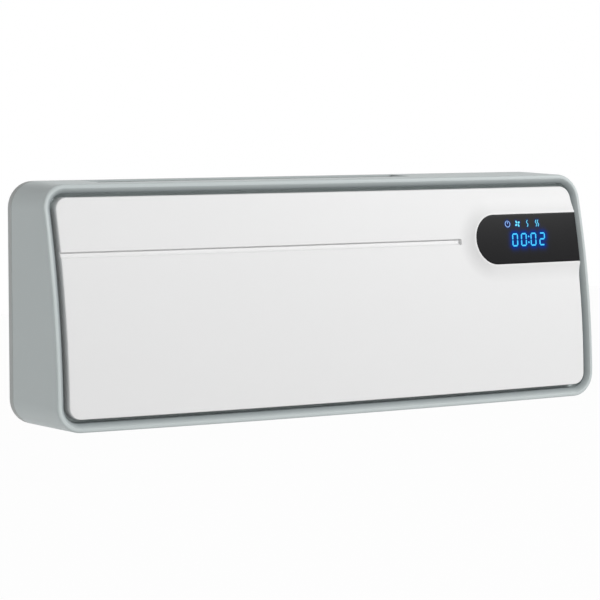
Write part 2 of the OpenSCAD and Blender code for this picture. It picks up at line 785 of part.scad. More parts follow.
display_board_shift = 3;
holder_lip = 2.2;
module display_holder() color(white) on_display() {
    w = display_board_w + 2*seat_clear;
    h = display_board_h + 2*seat_clear;
    translate([display_board_shift, 0, 0]) {
        inwards(panel_t + window_back + 0.7, display_board_y + board_t) difference() {
            square([w + 2*holder_lip, h + 2*holder_lip], center = true);
            square([w, h], center = true);
        }
        inwards(panel_t + window_back + 0.7, display_board_y - 0.05) difference() {
            square([w + 1, h + 1], center = true);
            square([w - 2, h], center = true);
        }
    }
}

module infrared_receiver() color([0.15, 0.05, 0.2]) on_display()
    translate([-33, 0, 0]) {
        inwards(module_y + 0.6, display_board_y) square([6, 6], center = true);
        translate([0, display_board_y - 1.5, 0]) sphere(r = 1.4);
    }

// ---- Duct, intake and filter ------------------------------------------------------------------

function frame_x(inset) = [duct_x0 + inset, duct_x1 - inset];
function duct_front(z) = floor_depth(duct_x0, z) - duct_clear;

// The fan seen along its axis: shapes are drawn in depth and z
module at_fan() translate([fan_depth, fan_z]) children();

module duct_end_2d() {
    top = intake_bottom;
    n = 10;
    polygon(concat(
        [[cover_floor_in + 0.6, duct_bottom], [cover_floor_in + 0.6, top]],
        [for (i = [0:n]) let (z = top + (duct_bottom - top)*i/n)
            [min(duct_front(z), front_wall_d + 2*sheet), z]]));
}

module duct_end_left() color(dark_grey) difference() {
    along(duct_x0, duct_x0 + end_t) duct_end_2d();
    rod_x(duct_x0 - 1, duct_x0 + end_t + 1, fan_depth, fan_z, mount_r);
}

module duct_end_right() color(dark_grey) difference() {
    along(duct_x1 - end_t, duct_x1) duct_end_2d();
    rod_x(duct_x1 - end_t - 1, duct_x1 + 1, fan_depth, fan_z, shaft_r + 3);
    for (p = motor_screw_at)
        rod_x(duct_x1 - end_t - 1, duct_x1 + 1, p[0], p[1], screw_r);
    for (i = [0:bar_count - 1])
        box([duct_x1 - end_t - 1, duct_x1 + 1], bar_d(i, 0),
            [terminal_z - terminal_h/2 - 1, terminal_z + terminal_h/2 + 1]);
}

scroll_steps = 10;
scroll_arc = 62;
function scroll_point(i, out) =
    let (a = scroll_arc*i/scroll_steps, r = fan_r + scroll_gap + out)
    [fan_depth - r*cos(a), fan_z + r*sin(a)];
module fan_scroll() color(dark_grey) along(inner_x0, inner_x1)
    polygon(concat(
        [[scroll_d, duct_bottom]], [for (i = [0:scroll_steps]) scroll_point(i, 0)],
        [for (i = [scroll_steps:-1:0]) scroll_point(i, sheet)], [[scroll_d - sheet, duct_bottom]]));

lip_angle = 34;
function lip_point(r) = [fan_depth + r*cos(lip_angle), fan_z - r*sin(lip_angle)];
module stabiliser() color(dark_grey) along(inner_x0, inner_x1) {
    lip = lip_point(fan_r + lip_gap);
    knee = lip[1] - 9;
    polygon([lip, [front_wall_d, knee], [front_wall_d, duct_bottom],
        [front_wall_d + sheet, duct_bottom], [front_wall_d + sheet, knee + 0.6],
        lip + [sheet*0.8, sheet*0.8]]);
}

intake_flange = 2;
module intake_frame() color(dark_grey) {
    difference() {
        union() {
            box(frame_x(0), [intake_back, intake_back + intake_d], [intake_bottom, intake_top]);
            box(frame_x(-intake_flange), [intake_back, intake_back + intake_d + intake_flange],
                [intake_top - 4, intake_top - 2.6]);
        }
        box(frame_x(intake_wall),
            [intake_back + intake_wall, intake_back + intake_d - intake_wall],
            [intake_top - cassette_h - slide_clear, intake_top + 1]);
        box(frame_x(intake_wall + 2),
            [intake_back + intake_wall + 2, intake_back + intake_d - intake_wall - 2],
            [intake_bottom - 1, intake_top]);
    }
}

cassette_in = intake_wall + slide_clear;
cassette_z0 = intake_top - cassette_h - slide_clear + 0.1;
cassette_z1 = intake_top - slide_clear;
cassette_d = [intake_back + cassette_in, intake_back + intake_d - cassette_in];
module filter_cassette() color(grey) {
    x = frame_x(cassette_in);
    n = floor((x[1] - x[0] - 2*cassette_wall)/grille_pitch);
    difference() {
        box(x, cassette_d, [cassette_z0, cassette_z1]);
        box(frame_x(cassette_in + cassette_wall),
            [cassette_d[0] + cassette_wall, cassette_d[1] - cassette_wall],
            [cassette_z0 - 1, cassette_z1 - grille_t]);
        for (i = [0:n - 1]) {
            c = (x[0] + x[1])/2 + (i - (n - 1)/2)*grille_pitch;
            w = (grille_pitch - grille_bar)/2;
            box([c - w, c + w], [cassette_d[0] + 2.5, cassette_d[1] - 2.5],
                [cassette_z1 - grille_t - 1, cassette_z1 + 1]);
        }
    }
}

mesh_z = 2;
module filter_mesh() color(black) {
    x = frame_x(cassette_in + cassette_wall);
    d = [cassette_d[0] + cassette_wall, cassette_d[1] - cassette_wall];
    z = [cassette_z0 + mesh_z, cassette_z0 + mesh_z + mesh_t];
    nx = floor((x[1] - x[0])/mesh_pitch);
    nd = floor((d[1] - d[0])/mesh_pitch);
    for (i = [0:nx]) {
        c = x[0] + mesh_t/2 + (x[1] - x[0] - mesh_t)*i/nx;
        box([c - mesh_t/2, c + mesh_t/2], d, z);
    }
    for (i = [0:nd]) {
        c = d[0] + mesh_t/2 + (d[1] - d[0] - mesh_t)*i/nd;
        box(x, [c - mesh_t/2, c + mesh_t/2], z);
    }
}

// ---- Fan and motor ----------------------------------------------------------------------------

fan_x0 = inner_x0 + fan_end_gap;
fan_x1 = inner_x1 - fan_end_gap;
disc_t = 2;
hub_r = 7;
hub_len = 12;

module blades_2d() {
    intersection() {
        difference() {
            circle(fan_r);
            circle(fan_r - blade_ring);
        }
        for (i = [0:blade_count - 1]) rotate(360*i/blade_count)
            translate([fan_r - blade_ring/2, 0]) rotate(35)
                square([3*blade_ring, blade_t], center = true);
    }
}
module fan_ring(x, t) difference() {
    rod_x(x, x + t, fan_depth, fan_z, fan_r - small);
    rod_x(x - 1, x + t + 1, fan_depth, fan_z, fan_r - blade_ring);
}

module fan_rotor() color(grey) {
    along(fan_x0, fan_x1) at_fan() blades_2d();
    pitch = (fan_x1 - fan_x0)/(ring_count + 1);
    for (i = [1:ring_count]) fan_ring(fan_x0 + i*pitch - 0.8, 1.6);
    difference() {
        union() {
            for (x = [fan_x0, fan_x1 - disc_t])
                rod_x(x, x + disc_t, fan_depth, fan_z, fan_r - small);
            rod_x(fan_x0, fan_x0 + hub_len, fan_depth, fan_z, hub_r);
            rod_x(fan_x1 - hub_len, fan_x1, fan_depth, fan_z, hub_r);
        }
        rod_x(fan_x0 - 1, fan_x0 + hub_len - 2, fan_depth, fan_z, shaft_r);
        rod_x(fan_x1 - hub_len + 2, fan_x1 + 1, fan_depth, fan_z, shaft_r);
    }
}

bush_r = 6;
mount_r = 9;
bush_x0 = duct_x0 - 4;
bush_x1 = duct_x0 + end_t + 1;
module fan_axle() color(steel) rod_x(bush_x0 - 3, fan_x0 + hub_len - 2, fan_depth, fan_z, shaft_r);

module axle_bush() color(brass) difference() {
    rod_x(bush_x0, bush_x1, fan_depth, fan_z, bush_r);
    rod_x(bush_x0 - 1, bush_x1 + 1, fan_depth, fan_z, shaft_r + run_clear);
}

module bush_mount() color(black) difference() {
    union() {
        rod_x(duct_x0 - 3, duct_x0 + end_t, fan_depth, fan_z, mount_r);
        rod_x(duct_x0 - 3, duct_x0, fan_depth, fan_z, mount_r + 3);
    }
    rod_x(duct_x0 - 4, duct_x0 + end_t + 1, fan_depth, fan_z, bush_r);
}

bearing_r = 6;
bearing_len = 5;
motor_screw_at = [for (sd = [-1, 1], sz = [-1, 1])
    [fan_depth + sd*(stator_half - 4.2), fan_z + sz*(stator_half - 4.2)]];

module motor_shaft() color(steel)
    rod_x(fan_x1 - hub_len + 2, motor_x1 + 4, fan_depth, fan_z, shaft_r);

stator_leg = 8;
module motor_stator_2d() {
    window = stator_half - stator_leg - 1;
    difference() {
        translate([fan_depth - stator_half, fan_z - stator_half])
            square([2*stator_half, stator_half + stator_top]);
        at_fan() circle(rotor_r + air_gap);
        translate([fan_depth - window, fan_z + stator_half])
            square([2*window, stator_top - stator_half - stator_leg]);
    }
}
module motor_stator() color([0.45, 0.46, 0.48]) difference() {
    along(stator_x0, stator_x1) motor_stator_2d();
    for (p = motor_screw_at)
        rod_x(stator_x0 - 1, stator_x1 + 1, p[0], p[1], screw_r + seat_clear);
}

coil_half = stator_half - 9.4;
module motor_coil() color(copper) {
    z0 = fan_z + stator_top - stator_leg;
    z1 = fan_z + stator_top;
    difference() {
        box([stator_x0 - coil_t, stator_x1 + coil_t],
            [fan_depth - coil_half, fan_depth + coil_half], [z0 - coil_t, z1 + coil_t]);
        box([stator_x0, stator_x1],
            [fan_depth - coil_half - 1, fan_depth + coil_half + 1], [z0, z1]);
    }
}

module motor_rotor() color(steel) difference() {
    rod_x(stator_x0, stator_x1, fan_depth, fan_z, rotor_r);
    rod_x(stator_x0 - 1, stator_x1 + 1, fan_depth, fan_z, shaft_r);
}

module motor_bracket(x) color(steel) difference() {
    along(x, x + bracket_t) at_fan() rounded(2*stator_half, 2*stator_half, 4);
    rod_x(x - 1, x + bracket_t + 1, fan_depth, fan_z, bearing_r);
    for (p = motor_screw_at)
        rod_x(x - 1, x + bracket_t + 1, p[0], p[1], screw_r + seat_clear);
}
module motor_bracket_inner() motor_bracket(inner_bracket_x);
module motor_bracket_outer() motor_bracket(outer_bracket_x);

module motor_bearings() color(brass)
    for (x = [inner_bracket_x, outer_bracket_x]) {
        x0 = x + (bracket_t - bearing_len)/2;
        difference() {
            rod_x(x0, x0 + bearing_len, fan_depth, fan_z, bearing_r);
            rod_x(x0 - 1, x0 + bearing_len + 1, fan_depth, fan_z, shaft_r + run_clear);
        }
    }

module motor_screws() color(steel)
    for (p = motor_screw_at) screw_x(motor_x1, p[0], p[1], duct_x1 - end_t - motor_x1);

module motor_spacers() color(black)
    for (p = motor_screw_at, x = [[duct_x1, inner_bracket_x],
        [inner_bracket_x + bracket_t, stator_x0], [stator_x1, outer_bracket_x]])
        difference() {
            rod_x(x[0], x[1], p[0], p[1], screw_r + 1.8);
            rod_x(x[0] - 1, x[1] + 1, p[0], p[1], screw_r + seat_clear);
        }

// ---- Heater -----------------------------------------------------------------------------------

heater_z0 = duct_bottom + heater_lift;
heater_z1 = heater_z0 + heater_h;
heater_d0 = scroll_d + 0.8;
heater_d1 = front_wall_d - 0.8;
row_d = (heater_d1 - heater_d0 - bar_count*bar_t)/(bar_count + 1);
core_x0 = inner_x0 + block_len;
core_x1 = inner_x1 - block_len;
terminal_x1 = duct_x1 + 7;
terminal_z = heater_z0 + 8;
terminal_h = 6;
function bar_start(i) = heater_d0 + (i + 1)*row_d + i*bar_t;
function bar_d(i, clear) = [bar_start(i) - clear, bar_start(i) + bar_t + clear];

module heater_bars() color([0.8, 0.8, 0.8])
    for (i = [0:bar_count - 1]) box([core_x0, core_x1], bar_d(i, 0), [heater_z0, heater_z1]);

// Folded strip of fins between two bars
fin_rise = fin_t*norm([row_d, fin_pitch])/fin_pitch;
function fin_points(d0, d1) =
    let (n = floor((core_x1 - core_x0 - 2)/fin_pitch))
    [for (i = [0:n]) [core_x0 + 1 + i*fin_pitch, i%2 == 0 ? d0 : d1]];
module heater_fins() color([0.85, 0.86, 0.88])
    for (k = [0:bar_count]) {
        d0 = heater_d0 + k*(row_d + bar_t);
        front = fin_points(d0, d0 + row_d - fin_rise);
        back = fin_points(d0 + fin_rise, d0 + row_d);
        m = len(front);
        translate([0, 0, heater_z0 + 0.5]) linear_extrude(heater_h - 1)
            polygon([for (p = concat(front, [for (i = [m - 1:-1:0]) back[i]])) [p[0], -p[1]]]);
    }

module heater_blocks() color([0.85, 0.8, 0.7])
    for (x = [[inner_x0, core_x0], [core_x1, inner_x1]]) difference() {
        box(x, [heater_d0, heater_d1], [heater_z0, heater_z1]);
        if (x[1] == inner_x1) for (i = [0:bar_count - 1])
            box([x[0] - 1, x[1] + 1], bar_d(i, seat_clear - 1),
                [terminal_z - terminal_h/2 - seat_clear, terminal_z + terminal_h/2 + seat_clear]);
    }

module heater_terminals() color(brass)
    for (i = [0:bar_count - 1])
        box([core_x1, terminal_x1], bar_d(i, -1),
            [terminal_z - terminal_h/2, terminal_z + terminal_h/2]);

thermostat_r = 8;
module thermostat() color(steel) {
    rod_x(duct_x1, duct_x1 + 5, front_wall_d - 8, heater_z1 + 12, thermostat_r);
    rod_x(duct_x1 + 5, duct_x1 + 10, front_wall_d - 8, heater_z1 + 12, thermostat_r - 2.5);
}

module thermal_fuse() color([0.8, 0.7, 0.5])
    rod_x(-80, -62, bar_start(1) + bar_t/2, heater_z1 + 1.8, 1.8);

// ---- Outlet -----------------------------------------------------------------------------------

louvre_z = bottom_z + louvre_rise;
louvre_d = outlet_back + outlet_wall + louvre_back;
louvre_reach_back = louvre_back - 0.8;
louvre_reach_front = outlet_d - 2*outlet_wall - louvre_back - 0.8;
louvre_x0 = duct_x0 + outlet_wall + 0.6;
louvre_x1 = duct_x1 - outlet_wall - 0.6;

module outlet_frame() color(dark_grey) difference() {
    union() {
        box(frame_x(0), [outlet_back, outlet_back + outlet_d], [outlet_rim, outlet_top]);
        box(frame_x(-2), [cover_floor_in + 0.6, outlet_back + outlet_d + 2],
            [outlet_top - 2, outlet_top]);
        rod_x(duct_x0 - 3, duct_x0, louvre_d, louvre_z, pin_r + 2.4);
    }
    box(frame_x(outlet_wall), [outlet_back + outlet_wall, outlet_back + outlet_d - outlet_wall],
        [outlet_rim - 1, outlet_top + 1]);
    rod_x(duct_x0 - 4, duct_x0 + outlet_wall + 1, louvre_d, louvre_z, pin_r + run_clear);
    rod_x(duct_x1 - outlet_wall - 1, duct_x1 + 1, louvre_d, louvre_z, pin_r + 2.5);
    for (p = louvre_screw_at) rod_x(duct_x1 - outlet_wall - 1, duct_x1 + 1, p[0], p[1], screw_r - 0.3);
}

guard_bars = 5;
module outlet_guard() color(dark_grey) {
    z = [outlet_top, duct_bottom];
    d = [outlet_back + outlet_wall, outlet_back + outlet_d - outlet_wall];
    difference() {
        box(frame_x(-2), [cover_floor_in + 0.6, outlet_back + outlet_d + 2], z);
        box(frame_x(outlet_wall), d, [z[0] - 1, z[1] + 1]);
    }
    for (i = [1:guard_bars]) {
        c = d[0] + (d[1] - d[0])*i/(guard_bars + 1);
        box(frame_x(1), [c - 0.9, c + 0.9], z);
    }
    n = 12;
    for (i = [1:n - 1]) {
        c = duct_x0 + (duct_x1 - duct_x0)*i/n;
        box([c - 0.8, c + 0.8], [outlet_back, outlet_back + outlet_d], z);
    }
}

module louvre_2d() {
    h = louvre_t/2;
    t = louvre_tip/2;
    polygon([[-louvre_reach_back, t], [0, h], [louvre_reach_front, t],
        [louvre_reach_front, -t], [0, -h], [-louvre_reach_back, -t]]);
    circle(pin_r + 1.3);
}
module outlet_louvre() color(grey) {
    difference() {
        along(louvre_x0, louvre_x1) translate([louvre_d, louvre_z]) louvre_2d();
        rod_x(louvre_x1 - 9, louvre_x1 + 1, louvre_d, louvre_z, pin_r);
    }
    rod_x(duct_x0 - 2.5, louvre_x0 + small, louvre_d, louvre_z, pin_r);
}

louvre_motor_z = louvre_z + louvre_motor_offset;
louvre_motor_x = duct_x1 + 0.2;
louvre_ear = louvre_motor_r + 4.5;
louvre_screw_at = [for (s = [-1, 1]) [louvre_d + s*louvre_ear, louvre_motor_z]];
module louvre_motor() color(steel) difference() {
    union() {
        rod_x(louvre_motor_x, louvre_motor_x + louvre_motor_len, louvre_d, louvre_motor_z,
            louvre_motor_r);
        difference() {
            along(louvre_motor_x, louvre_motor_x + 1) translate([louvre_d, louvre_motor_z])
                rounded(2*louvre_ear + 7, 7, 3.4);
            for (p = louvre_screw_at)
                rod_x(louvre_motor_x - 1, louvre_motor_x + 2, p[0], p[1], screw_r);
        }
        rod_x(louvre_motor_x - 1.6, louvre_motor_x + 1, louvre_d, louvre_z, pin_r + 2);
    }
    rod_x(louvre_motor_x - 2, louvre_motor_x + 8, louvre_d, louvre_z, pin_r + run_clear);
}

module louvre_motor_shaft() color(steel)
    rod_x(louvre_x1 - 8, louvre_motor_x + 7, louvre_d, louvre_z, pin_r);

module louvre_motor_screws() color(steel)
    for (p = louvre_screw_at) {
        rod_x(louvre_motor_x + 1, louvre_motor_x + 2.6, p[0], p[1], screw_head_r - 0.3);
        rod_x(duct_x1 - outlet_wall + 0.2, louvre_motor_x + 1, p[0], p[1], screw_r - 0.3);
    }

// ---- Electronics, switch and gland ------------------------------------------------------------

board_x1 = side_x - board_margin;
board_x0 = board_x1 - board_w;
board_z1 = top_z - 42;
board_z0 = board_z1 - board_h;
board_front = board_depth + board_t;
board_screw_at = [for (x = [board_x0 + 6, board_x1 - 6], z = [board_z0 + 6, board_z1 - 6]) [x, z]];
cable_hole = [board_x0 + 22, board_z0 + 34];
cable_hole_r = 6;

module control_board() color(board_green) difference() {
    box([board_x0, board_x1], [board_depth, board_front], [board_z0, board_z1]);
    for (p = board_screw_at) rod_y(board_depth - 1, board_front + 1, p[0], p[1], screw_r + seat_clear);
}

row_margin = 12;
row_x = board_x0 + row_margin;
row_w = board_w - 2*row_margin;
relay_drop = 16;
relay_shift = 2;
relay_z = [board_z1 - relay_h - relay_drop, board_z1 - relay_drop];
function relay_x(i) = row_x + relay_shift + relay_pitch*i;
module relays() color(black) for (i = [0:2])
    box([relay_x(i), relay_x(i) + relay_w], [board_front, board_front + relay_t], relay_z);

block_w = row_w/bar_count - block_gap;
block_rise = 14;
block_z = [board_z0 + block_rise, board_z0 + block_rise + block_h];
function block_x(i) = row_x + (block_w + block_gap)*i;
module terminal_blocks() color([0.2, 0.45, 0.25]) for (i = [0:bar_count - 1])
    box([block_x(i), block_x(i) + block_w], [board_front, board_front + block_t], block_z);

module filter_capacitor() color([0.75, 0.6, 0.15])
    box([row_x, row_x + capacitor_w], [board_front, board_front + capacitor_t],
        [cable_hole[1] + cable_hole_r + 1, cable_hole[1] + cable_hole_r + 1 + capacitor_h]);

buzzer_at = [board_x1 - 20, board_z0 + 50];
module buzzer() color(black) difference() {
    rod_y(board_front, board_front + buzzer_t, buzzer_at[0], buzzer_at[1], buzzer_r);
    rod_y(board_front + buzzer_t - 2, board_front + buzzer_t + 1, buzzer_at[0], buzzer_at[1],
        0.2*buzzer_r);
}

module board_screws() color(steel)
    for (p = board_screw_at) {
        rod_y(board_front, board_front + screw_head_h, p[0], p[1], screw_head_r);
        rod_y(board_depth - 7, board_front, p[0], p[1], screw_r);
    }

switch_z = bottom_z + switch_rise;
switch_body_w = switch_w - 3;
switch_body_h = switch_h - 3;
switch_body_len = 18;
switch_x = side_x - switch_pocket;
bezel_t = 2;
tag_len = 7;
tag_pitch = 6;
function switch_slot(w) = [switch_depth - w/2 - seat_clear, switch_depth + w/2 + seat_clear];
function switch_slot_z(h) = [switch_z - h/2 - seat_clear, switch_z + h/2 + seat_clear];
switch_block_x = [switch_x - 3.5, side_x - wall/2 - mould_draft];
switch_block_d = [switch_depth - switch_w/2 - 2.5, switch_depth + switch_w/2 + 2.5];
switch_block_z = [switch_z - switch_h/2 - 2.5, switch_z + switch_h/2 + 2.5];

module switch_housing() color(black) difference() {
    union() {
        box([switch_x, switch_x + bezel_t],
            [switch_depth - switch_w/2, switch_depth + switch_w/2],
            [switch_z - switch_h/2, switch_z + switch_h/2]);
        box([switch_x - switch_body_len, switch_x + small],
            [switch_depth - switch_body_w/2, switch_depth + switch_body_w/2],
            [switch_z - switch_body_h/2, switch_z + switch_body_h/2]);
        for (s = [-1, 0, 1]) box([switch_x - switch_body_len - tag_len, switch_x - switch_body_len],
            [switch_depth - 2.4, switch_depth + 2.4],
            [switch_z + s*tag_pitch - 0.4, switch_z + s*tag_pitch + 0.4]);
    }
    box([switch_x - 7, switch_x + bezel_t + 1],
        [switch_depth - rocker_w/2 - slide_clear, switch_depth + rocker_w/2 + slide_clear],
        [switch_z - rocker_h/2 - slide_clear, switch_z + rocker_h/2 + slide_clear]);
    rod_y(switch_depth - rocker_w/2 - 1.2, switch_depth + rocker_w/2 + 1.2, rocker_x, switch_z,
        rocker_pin_r + run_clear);
}

rocker_w = switch_w - 5.5;
rocker_h = switch_h - 5.5;
rocker_x = switch_x - 1;
rocker_pin_r = 1.1;
module switch_rocker() color([0.12, 0.12, 0.125])
    translate([rocker_x, 0, switch_z]) rotate([0, -rocker_swing/2, 0]) {
        h = rocker_h/2 - 0.5;
        across(switch_depth - rocker_w/2, switch_depth + rocker_w/2)
            polygon([[-1.6, -3], [1.2, -h], [2.4 + 0.4*tan(rocker_swing/2)*h, -h], [2, 0],
                [2.4 + 0.4*tan(rocker_swing/2)*h, h], [1.2, h], [-1.6, 3]]);
        rod_y(switch_depth - rocker_w/2 - 1, switch_depth + rocker_w/2 + 1, 0, 0, rocker_pin_r);
    }

gland_x = side_x - gland_margin;
gland_flange_r = 9;
gland_flange_t = 1.5;
gland_body_r = 6.5;
gland_boss = 6;
draft_at_gland = 0.4;
module cord_gland() color(black) difference() {
    union() {
        rod_z(bottom_z + draft_at_gland, bottom_z + draft_at_gland + gland_flange_t,
            gland_x, gland_depth, gland_flange_r);
        rod_z(bottom_z + draft_at_gland, bottom_z + 14, gland_x, gland_depth, gland_body_r);
        rod_z(bottom_z + gland_boss + 0.1, bottom_z + 9, gland_x, gland_depth, gland_body_r + 1.5);
    }
    rod_z(bottom_z - 1, bottom_z + 15, gland_x, gland_depth, gland_bore_r);
}

// ---- Internal leads ---------------------------------------------------------------------------

lead_r = 1.1;
cable_r = 1.6;
lead_sides = 8;
// A lead starts this far from the end face that it is soldered or clamped to
lead_touch = 0.1;
lead_straight = 4;
lead_gap = 0.5;
// Where the leads turn up beside the board, and how far apart a pair runs
lead_turn = 6;
lead_pair = 4;
heater_lead_run = 15;
louvre_lead_x = 30;
function unit(v) = v/norm(v);
// Rings of a lead, cut on the mitre at each bend, from the offsets of the ring before
function lead_rings(pts, offsets, i) =
    i == len(pts) - 1 ? [[for (o = offsets) pts[i] + o]]
    : let (before = unit(pts[i] - pts[i - 1]), after = unit(pts[i + 1] - pts[i]),
        mitre = unit(before + after),
        cut = [for (o = offsets) o - before*((o*mitre)/(before*mitre))],
        next = [for (o = cut) o - after*(o*after)])
    concat([[for (o = cut) pts[i] + o]], lead_rings(pts, next, i + 1));
// Lead through places given as x, depth and z
module lead(route, r) {
    pts = [for (p = route) [p[0], -p[1], p[2]]];
    start = unit(pts[1] - pts[0]);
    u = unit(cross(start, abs(start[2]) > 0.9 ? [1, 0, 0] : [0, 0, 1]));
    v = cross(u, start);
    offsets = [for (i = [0:lead_sides - 1])
        r*(cos(360*i/lead_sides)*u + sin(360*i/lead_sides)*v)];
    skin(concat([[for (o = offsets) pts[0] + o]], lead_rings(pts, offsets, 1)));
}

module display_cable() color(black) {
    x = cable_hole[0];
    z0 = display_z - display_board_h/2 + 2;
    z1 = cable_hole[1];
    lead([[x, recess_depth(x, z0) + 2.2, z0], [x, recess_depth(x, z1 + 12) + 4, z1 + 12],
        [x, recess_depth(x, z1) + 2, z1], [x, board_front + lead_touch, z1]], cable_r);
}

module heater_leads() color([0.75, 0.15, 0.12]) {
    x0 = terminal_x1 + lead_touch;
    for (i = [0:bar_count - 1]) {
        d = bar_start(i) + bar_t/2;
        z = (block_z[0] + block_z[1])/2;
        x = block_x(i) + block_w/2;
        y0 = board_front + block_t;
        y1 = y0 + lead_turn + i*(2*lead_r + lead_gap);
        lead([[x0, d, terminal_z], [x0 + heater_lead_run, d, terminal_z],
            [board_x0 - lead_turn, y1, z],
            [x, y1, z], [x, y0 + lead_touch, z]], lead_r);
    }
}

module motor_leads() color(white) {
    x0 = stator_x1 + coil_t + lead_touch;
    z = fan_z + stator_top;
    y = board_front + relay_t;
    for (s = [-1, 1]) {
        x = relay_x(0) + relay_w/2 + lead_pair*s;
        d = fan_depth + lead_pair*s;
        lead([[x0, d, z], [x0 + lead_straight, d, z], [x, y + lead_straight, relay_z[0] + relay_h/2],
            [x, y + lead_touch, relay_z[0] + relay_h/2]], lead_r);
    }
}

module louvre_leads() color([0.2, 0.3, 0.6]) {
    x0 = louvre_motor_x + louvre_motor_len + lead_touch;
    x1 = board_x0 + louvre_lead_x;
    z1 = board_z0 + 3;
    // It passes over the screw post beside the motor
    post = cover_screw_at[5] + [-boss_r - lead_straight, boss_r + lead_r + 3];
    z = max(z1 - lead_straight, post[1]);
    lead([[x0, louvre_d, louvre_motor_z], [x0 + 2*lead_straight, louvre_d, louvre_motor_z],
        [post[0], louvre_d, post[1]], [board_x0 - lead_turn, louvre_d, z],
        [x1, board_front + lead_straight, z1], [x1, board_front + lead_touch, z1]], lead_r);
}

module switch_leads() color([0.25, 0.2, 0.18]) {
    x0 = switch_x - switch_body_len - tag_len - lead_touch;
    z1 = board_z0 + 5;
    for (s = [-1, 1]) {
        z = switch_z + s*tag_pitch;
        x1 = x0 - 3 + lead_pair*s;
        lead([[x0, switch_depth, z], [x0 - lead_straight, switch_depth, z],
            [x1, board_front + 2*lead_straight, z1], [x1, board_front + lead_touch, z1]], lead_r);
    }
}

wall_bracket();
rear_cover();
casing();
cover_screws();
front_panel();
panel_screws();
display_window();
display_digits();
display_icons();
display_module();
display_board();
display_holder();
infrared_receiver();
intake_frame();
filter_cassette();
filter_mesh();
fan_scroll();
stabiliser();
duct_end_left();
duct_end_right();
fan_rotor();
motor_shaft();
fan_axle();
axle_bush();
bush_mount();
motor_stator();
motor_coil();
motor_rotor();
motor_bracket_inner();
motor_bracket_outer();
motor_bearings();
motor_screws();
motor_spacers();
heater_bars();
heater_fins();
heater_blocks();
heater_terminals();
thermostat();
thermal_fuse();
outlet_frame();
outlet_guard();
outlet_louvre();
louvre_motor();
louvre_motor_shaft();
louvre_motor_screws();
control_board();
relays();
terminal_blocks();
filter_capacitor();
buzzer();
board_screws();
switch_housing();
switch_rocker();
cord_gland();
display_cable();
heater_leads();
motor_leads();
louvre_leads();
switch_leads();
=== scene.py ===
"""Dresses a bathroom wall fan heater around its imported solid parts.

It is laid out as an add-on for Blender 4.5 and is run as a script. The settings are in metres.
The makers work in millimetres, with a depth counted from the wall, so a depth d lies at y = -d.
"""
import json
import math
from contextlib import contextmanager

import bmesh
import bpy
import numpy as np
from bpy.props import FloatProperty, FloatVectorProperty, IntProperty, PointerProperty
from mathutils import Matrix, Vector
from mathutils.geometry import delaunay_2d_cdt


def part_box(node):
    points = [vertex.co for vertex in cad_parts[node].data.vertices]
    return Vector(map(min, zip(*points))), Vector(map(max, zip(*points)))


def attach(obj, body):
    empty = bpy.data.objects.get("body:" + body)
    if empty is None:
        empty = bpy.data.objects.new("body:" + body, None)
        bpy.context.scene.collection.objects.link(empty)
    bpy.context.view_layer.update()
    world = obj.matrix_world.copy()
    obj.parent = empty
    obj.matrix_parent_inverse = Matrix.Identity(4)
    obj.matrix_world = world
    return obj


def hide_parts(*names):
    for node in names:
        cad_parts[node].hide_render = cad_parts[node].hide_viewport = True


bl_info = {
    "name": "Wall Fan Heater",
    "version": (1, 0, 0),
    "blender": (4, 5, 0),
    "location": "3D Viewport > Sidebar > Heater",
    "description": "Builds the outside and the inner pieces of a wall fan heater",
    "category": "Add Mesh",
}

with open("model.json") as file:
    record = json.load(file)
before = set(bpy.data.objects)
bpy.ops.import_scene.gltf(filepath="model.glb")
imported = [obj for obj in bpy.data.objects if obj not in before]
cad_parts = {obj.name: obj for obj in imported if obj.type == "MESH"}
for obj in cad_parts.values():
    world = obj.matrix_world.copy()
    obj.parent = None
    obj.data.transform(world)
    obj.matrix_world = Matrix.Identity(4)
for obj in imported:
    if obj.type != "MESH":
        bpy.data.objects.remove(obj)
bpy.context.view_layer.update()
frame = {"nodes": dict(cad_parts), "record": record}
MM = 0.001
NODES = frame["nodes"]
BODY_OF = {n: b for b, names in frame["record"]["behaviour"]["bodies"].items() for n in names}
SLOT_OF = {s["node"]: s["material_slot"] for s in frame["record"]["subparts"]}
COLOUR_OF = {m["slot"]: m["base_color"] for m in frame["record"]["materials"]}


# ---- Settings --------------------------------------------

def length(name, text, mm):
    return FloatProperty(name=name, description=text, default=mm * MM, min=0.0, unit="LENGTH")


def power(name, text, watts):
    return FloatProperty(name=name, description=text, default=watts, min=0.0, unit="POWER")


def count(name, text, default, least=1):
    return IntProperty(name=name, description=text, default=default, min=least)


def colour(name, text, default):
    """Colour, given by three numbers or by the slot whose own colour it is."""
    return FloatVectorProperty(name=name, description=text, subtype="COLOR", min=0.0, max=1.0,
                               default=COLOUR_OF.get(default, default)[:3])


class HeaterBodySettings(bpy.types.PropertyGroup):
    """Sizes of the body and of its curved front"""
    width: length("Width", "Width of the body", 500)
    height: length("Height", "Height of the body", 186)
    depth_top: length("Top Depth", "Depth of the front edge at the top", 54)
    depth_bottom: length("Bottom Depth", "Depth of the front edge at the bottom", 80)
    bulge: length("Side Bulge", "How far the front bows out between top and bottom", 7.2)
    crown: length("Crown", "How far the middle stands out past the sides", 8.4)
    corner: length("Corner Radius", "Corner radius of the outline", 20.4)
    wall: length("Wall", "Wall of the casing", 2.5)
    cover: length("Cover Depth", "Depth of the rear cover's strip", 6)
    recess: length("Recess Depth", "Depth of the recess behind the panel", 10.5)
    edge: length("Edge Radius", "Radius of the rim's outer edge", 1.5)


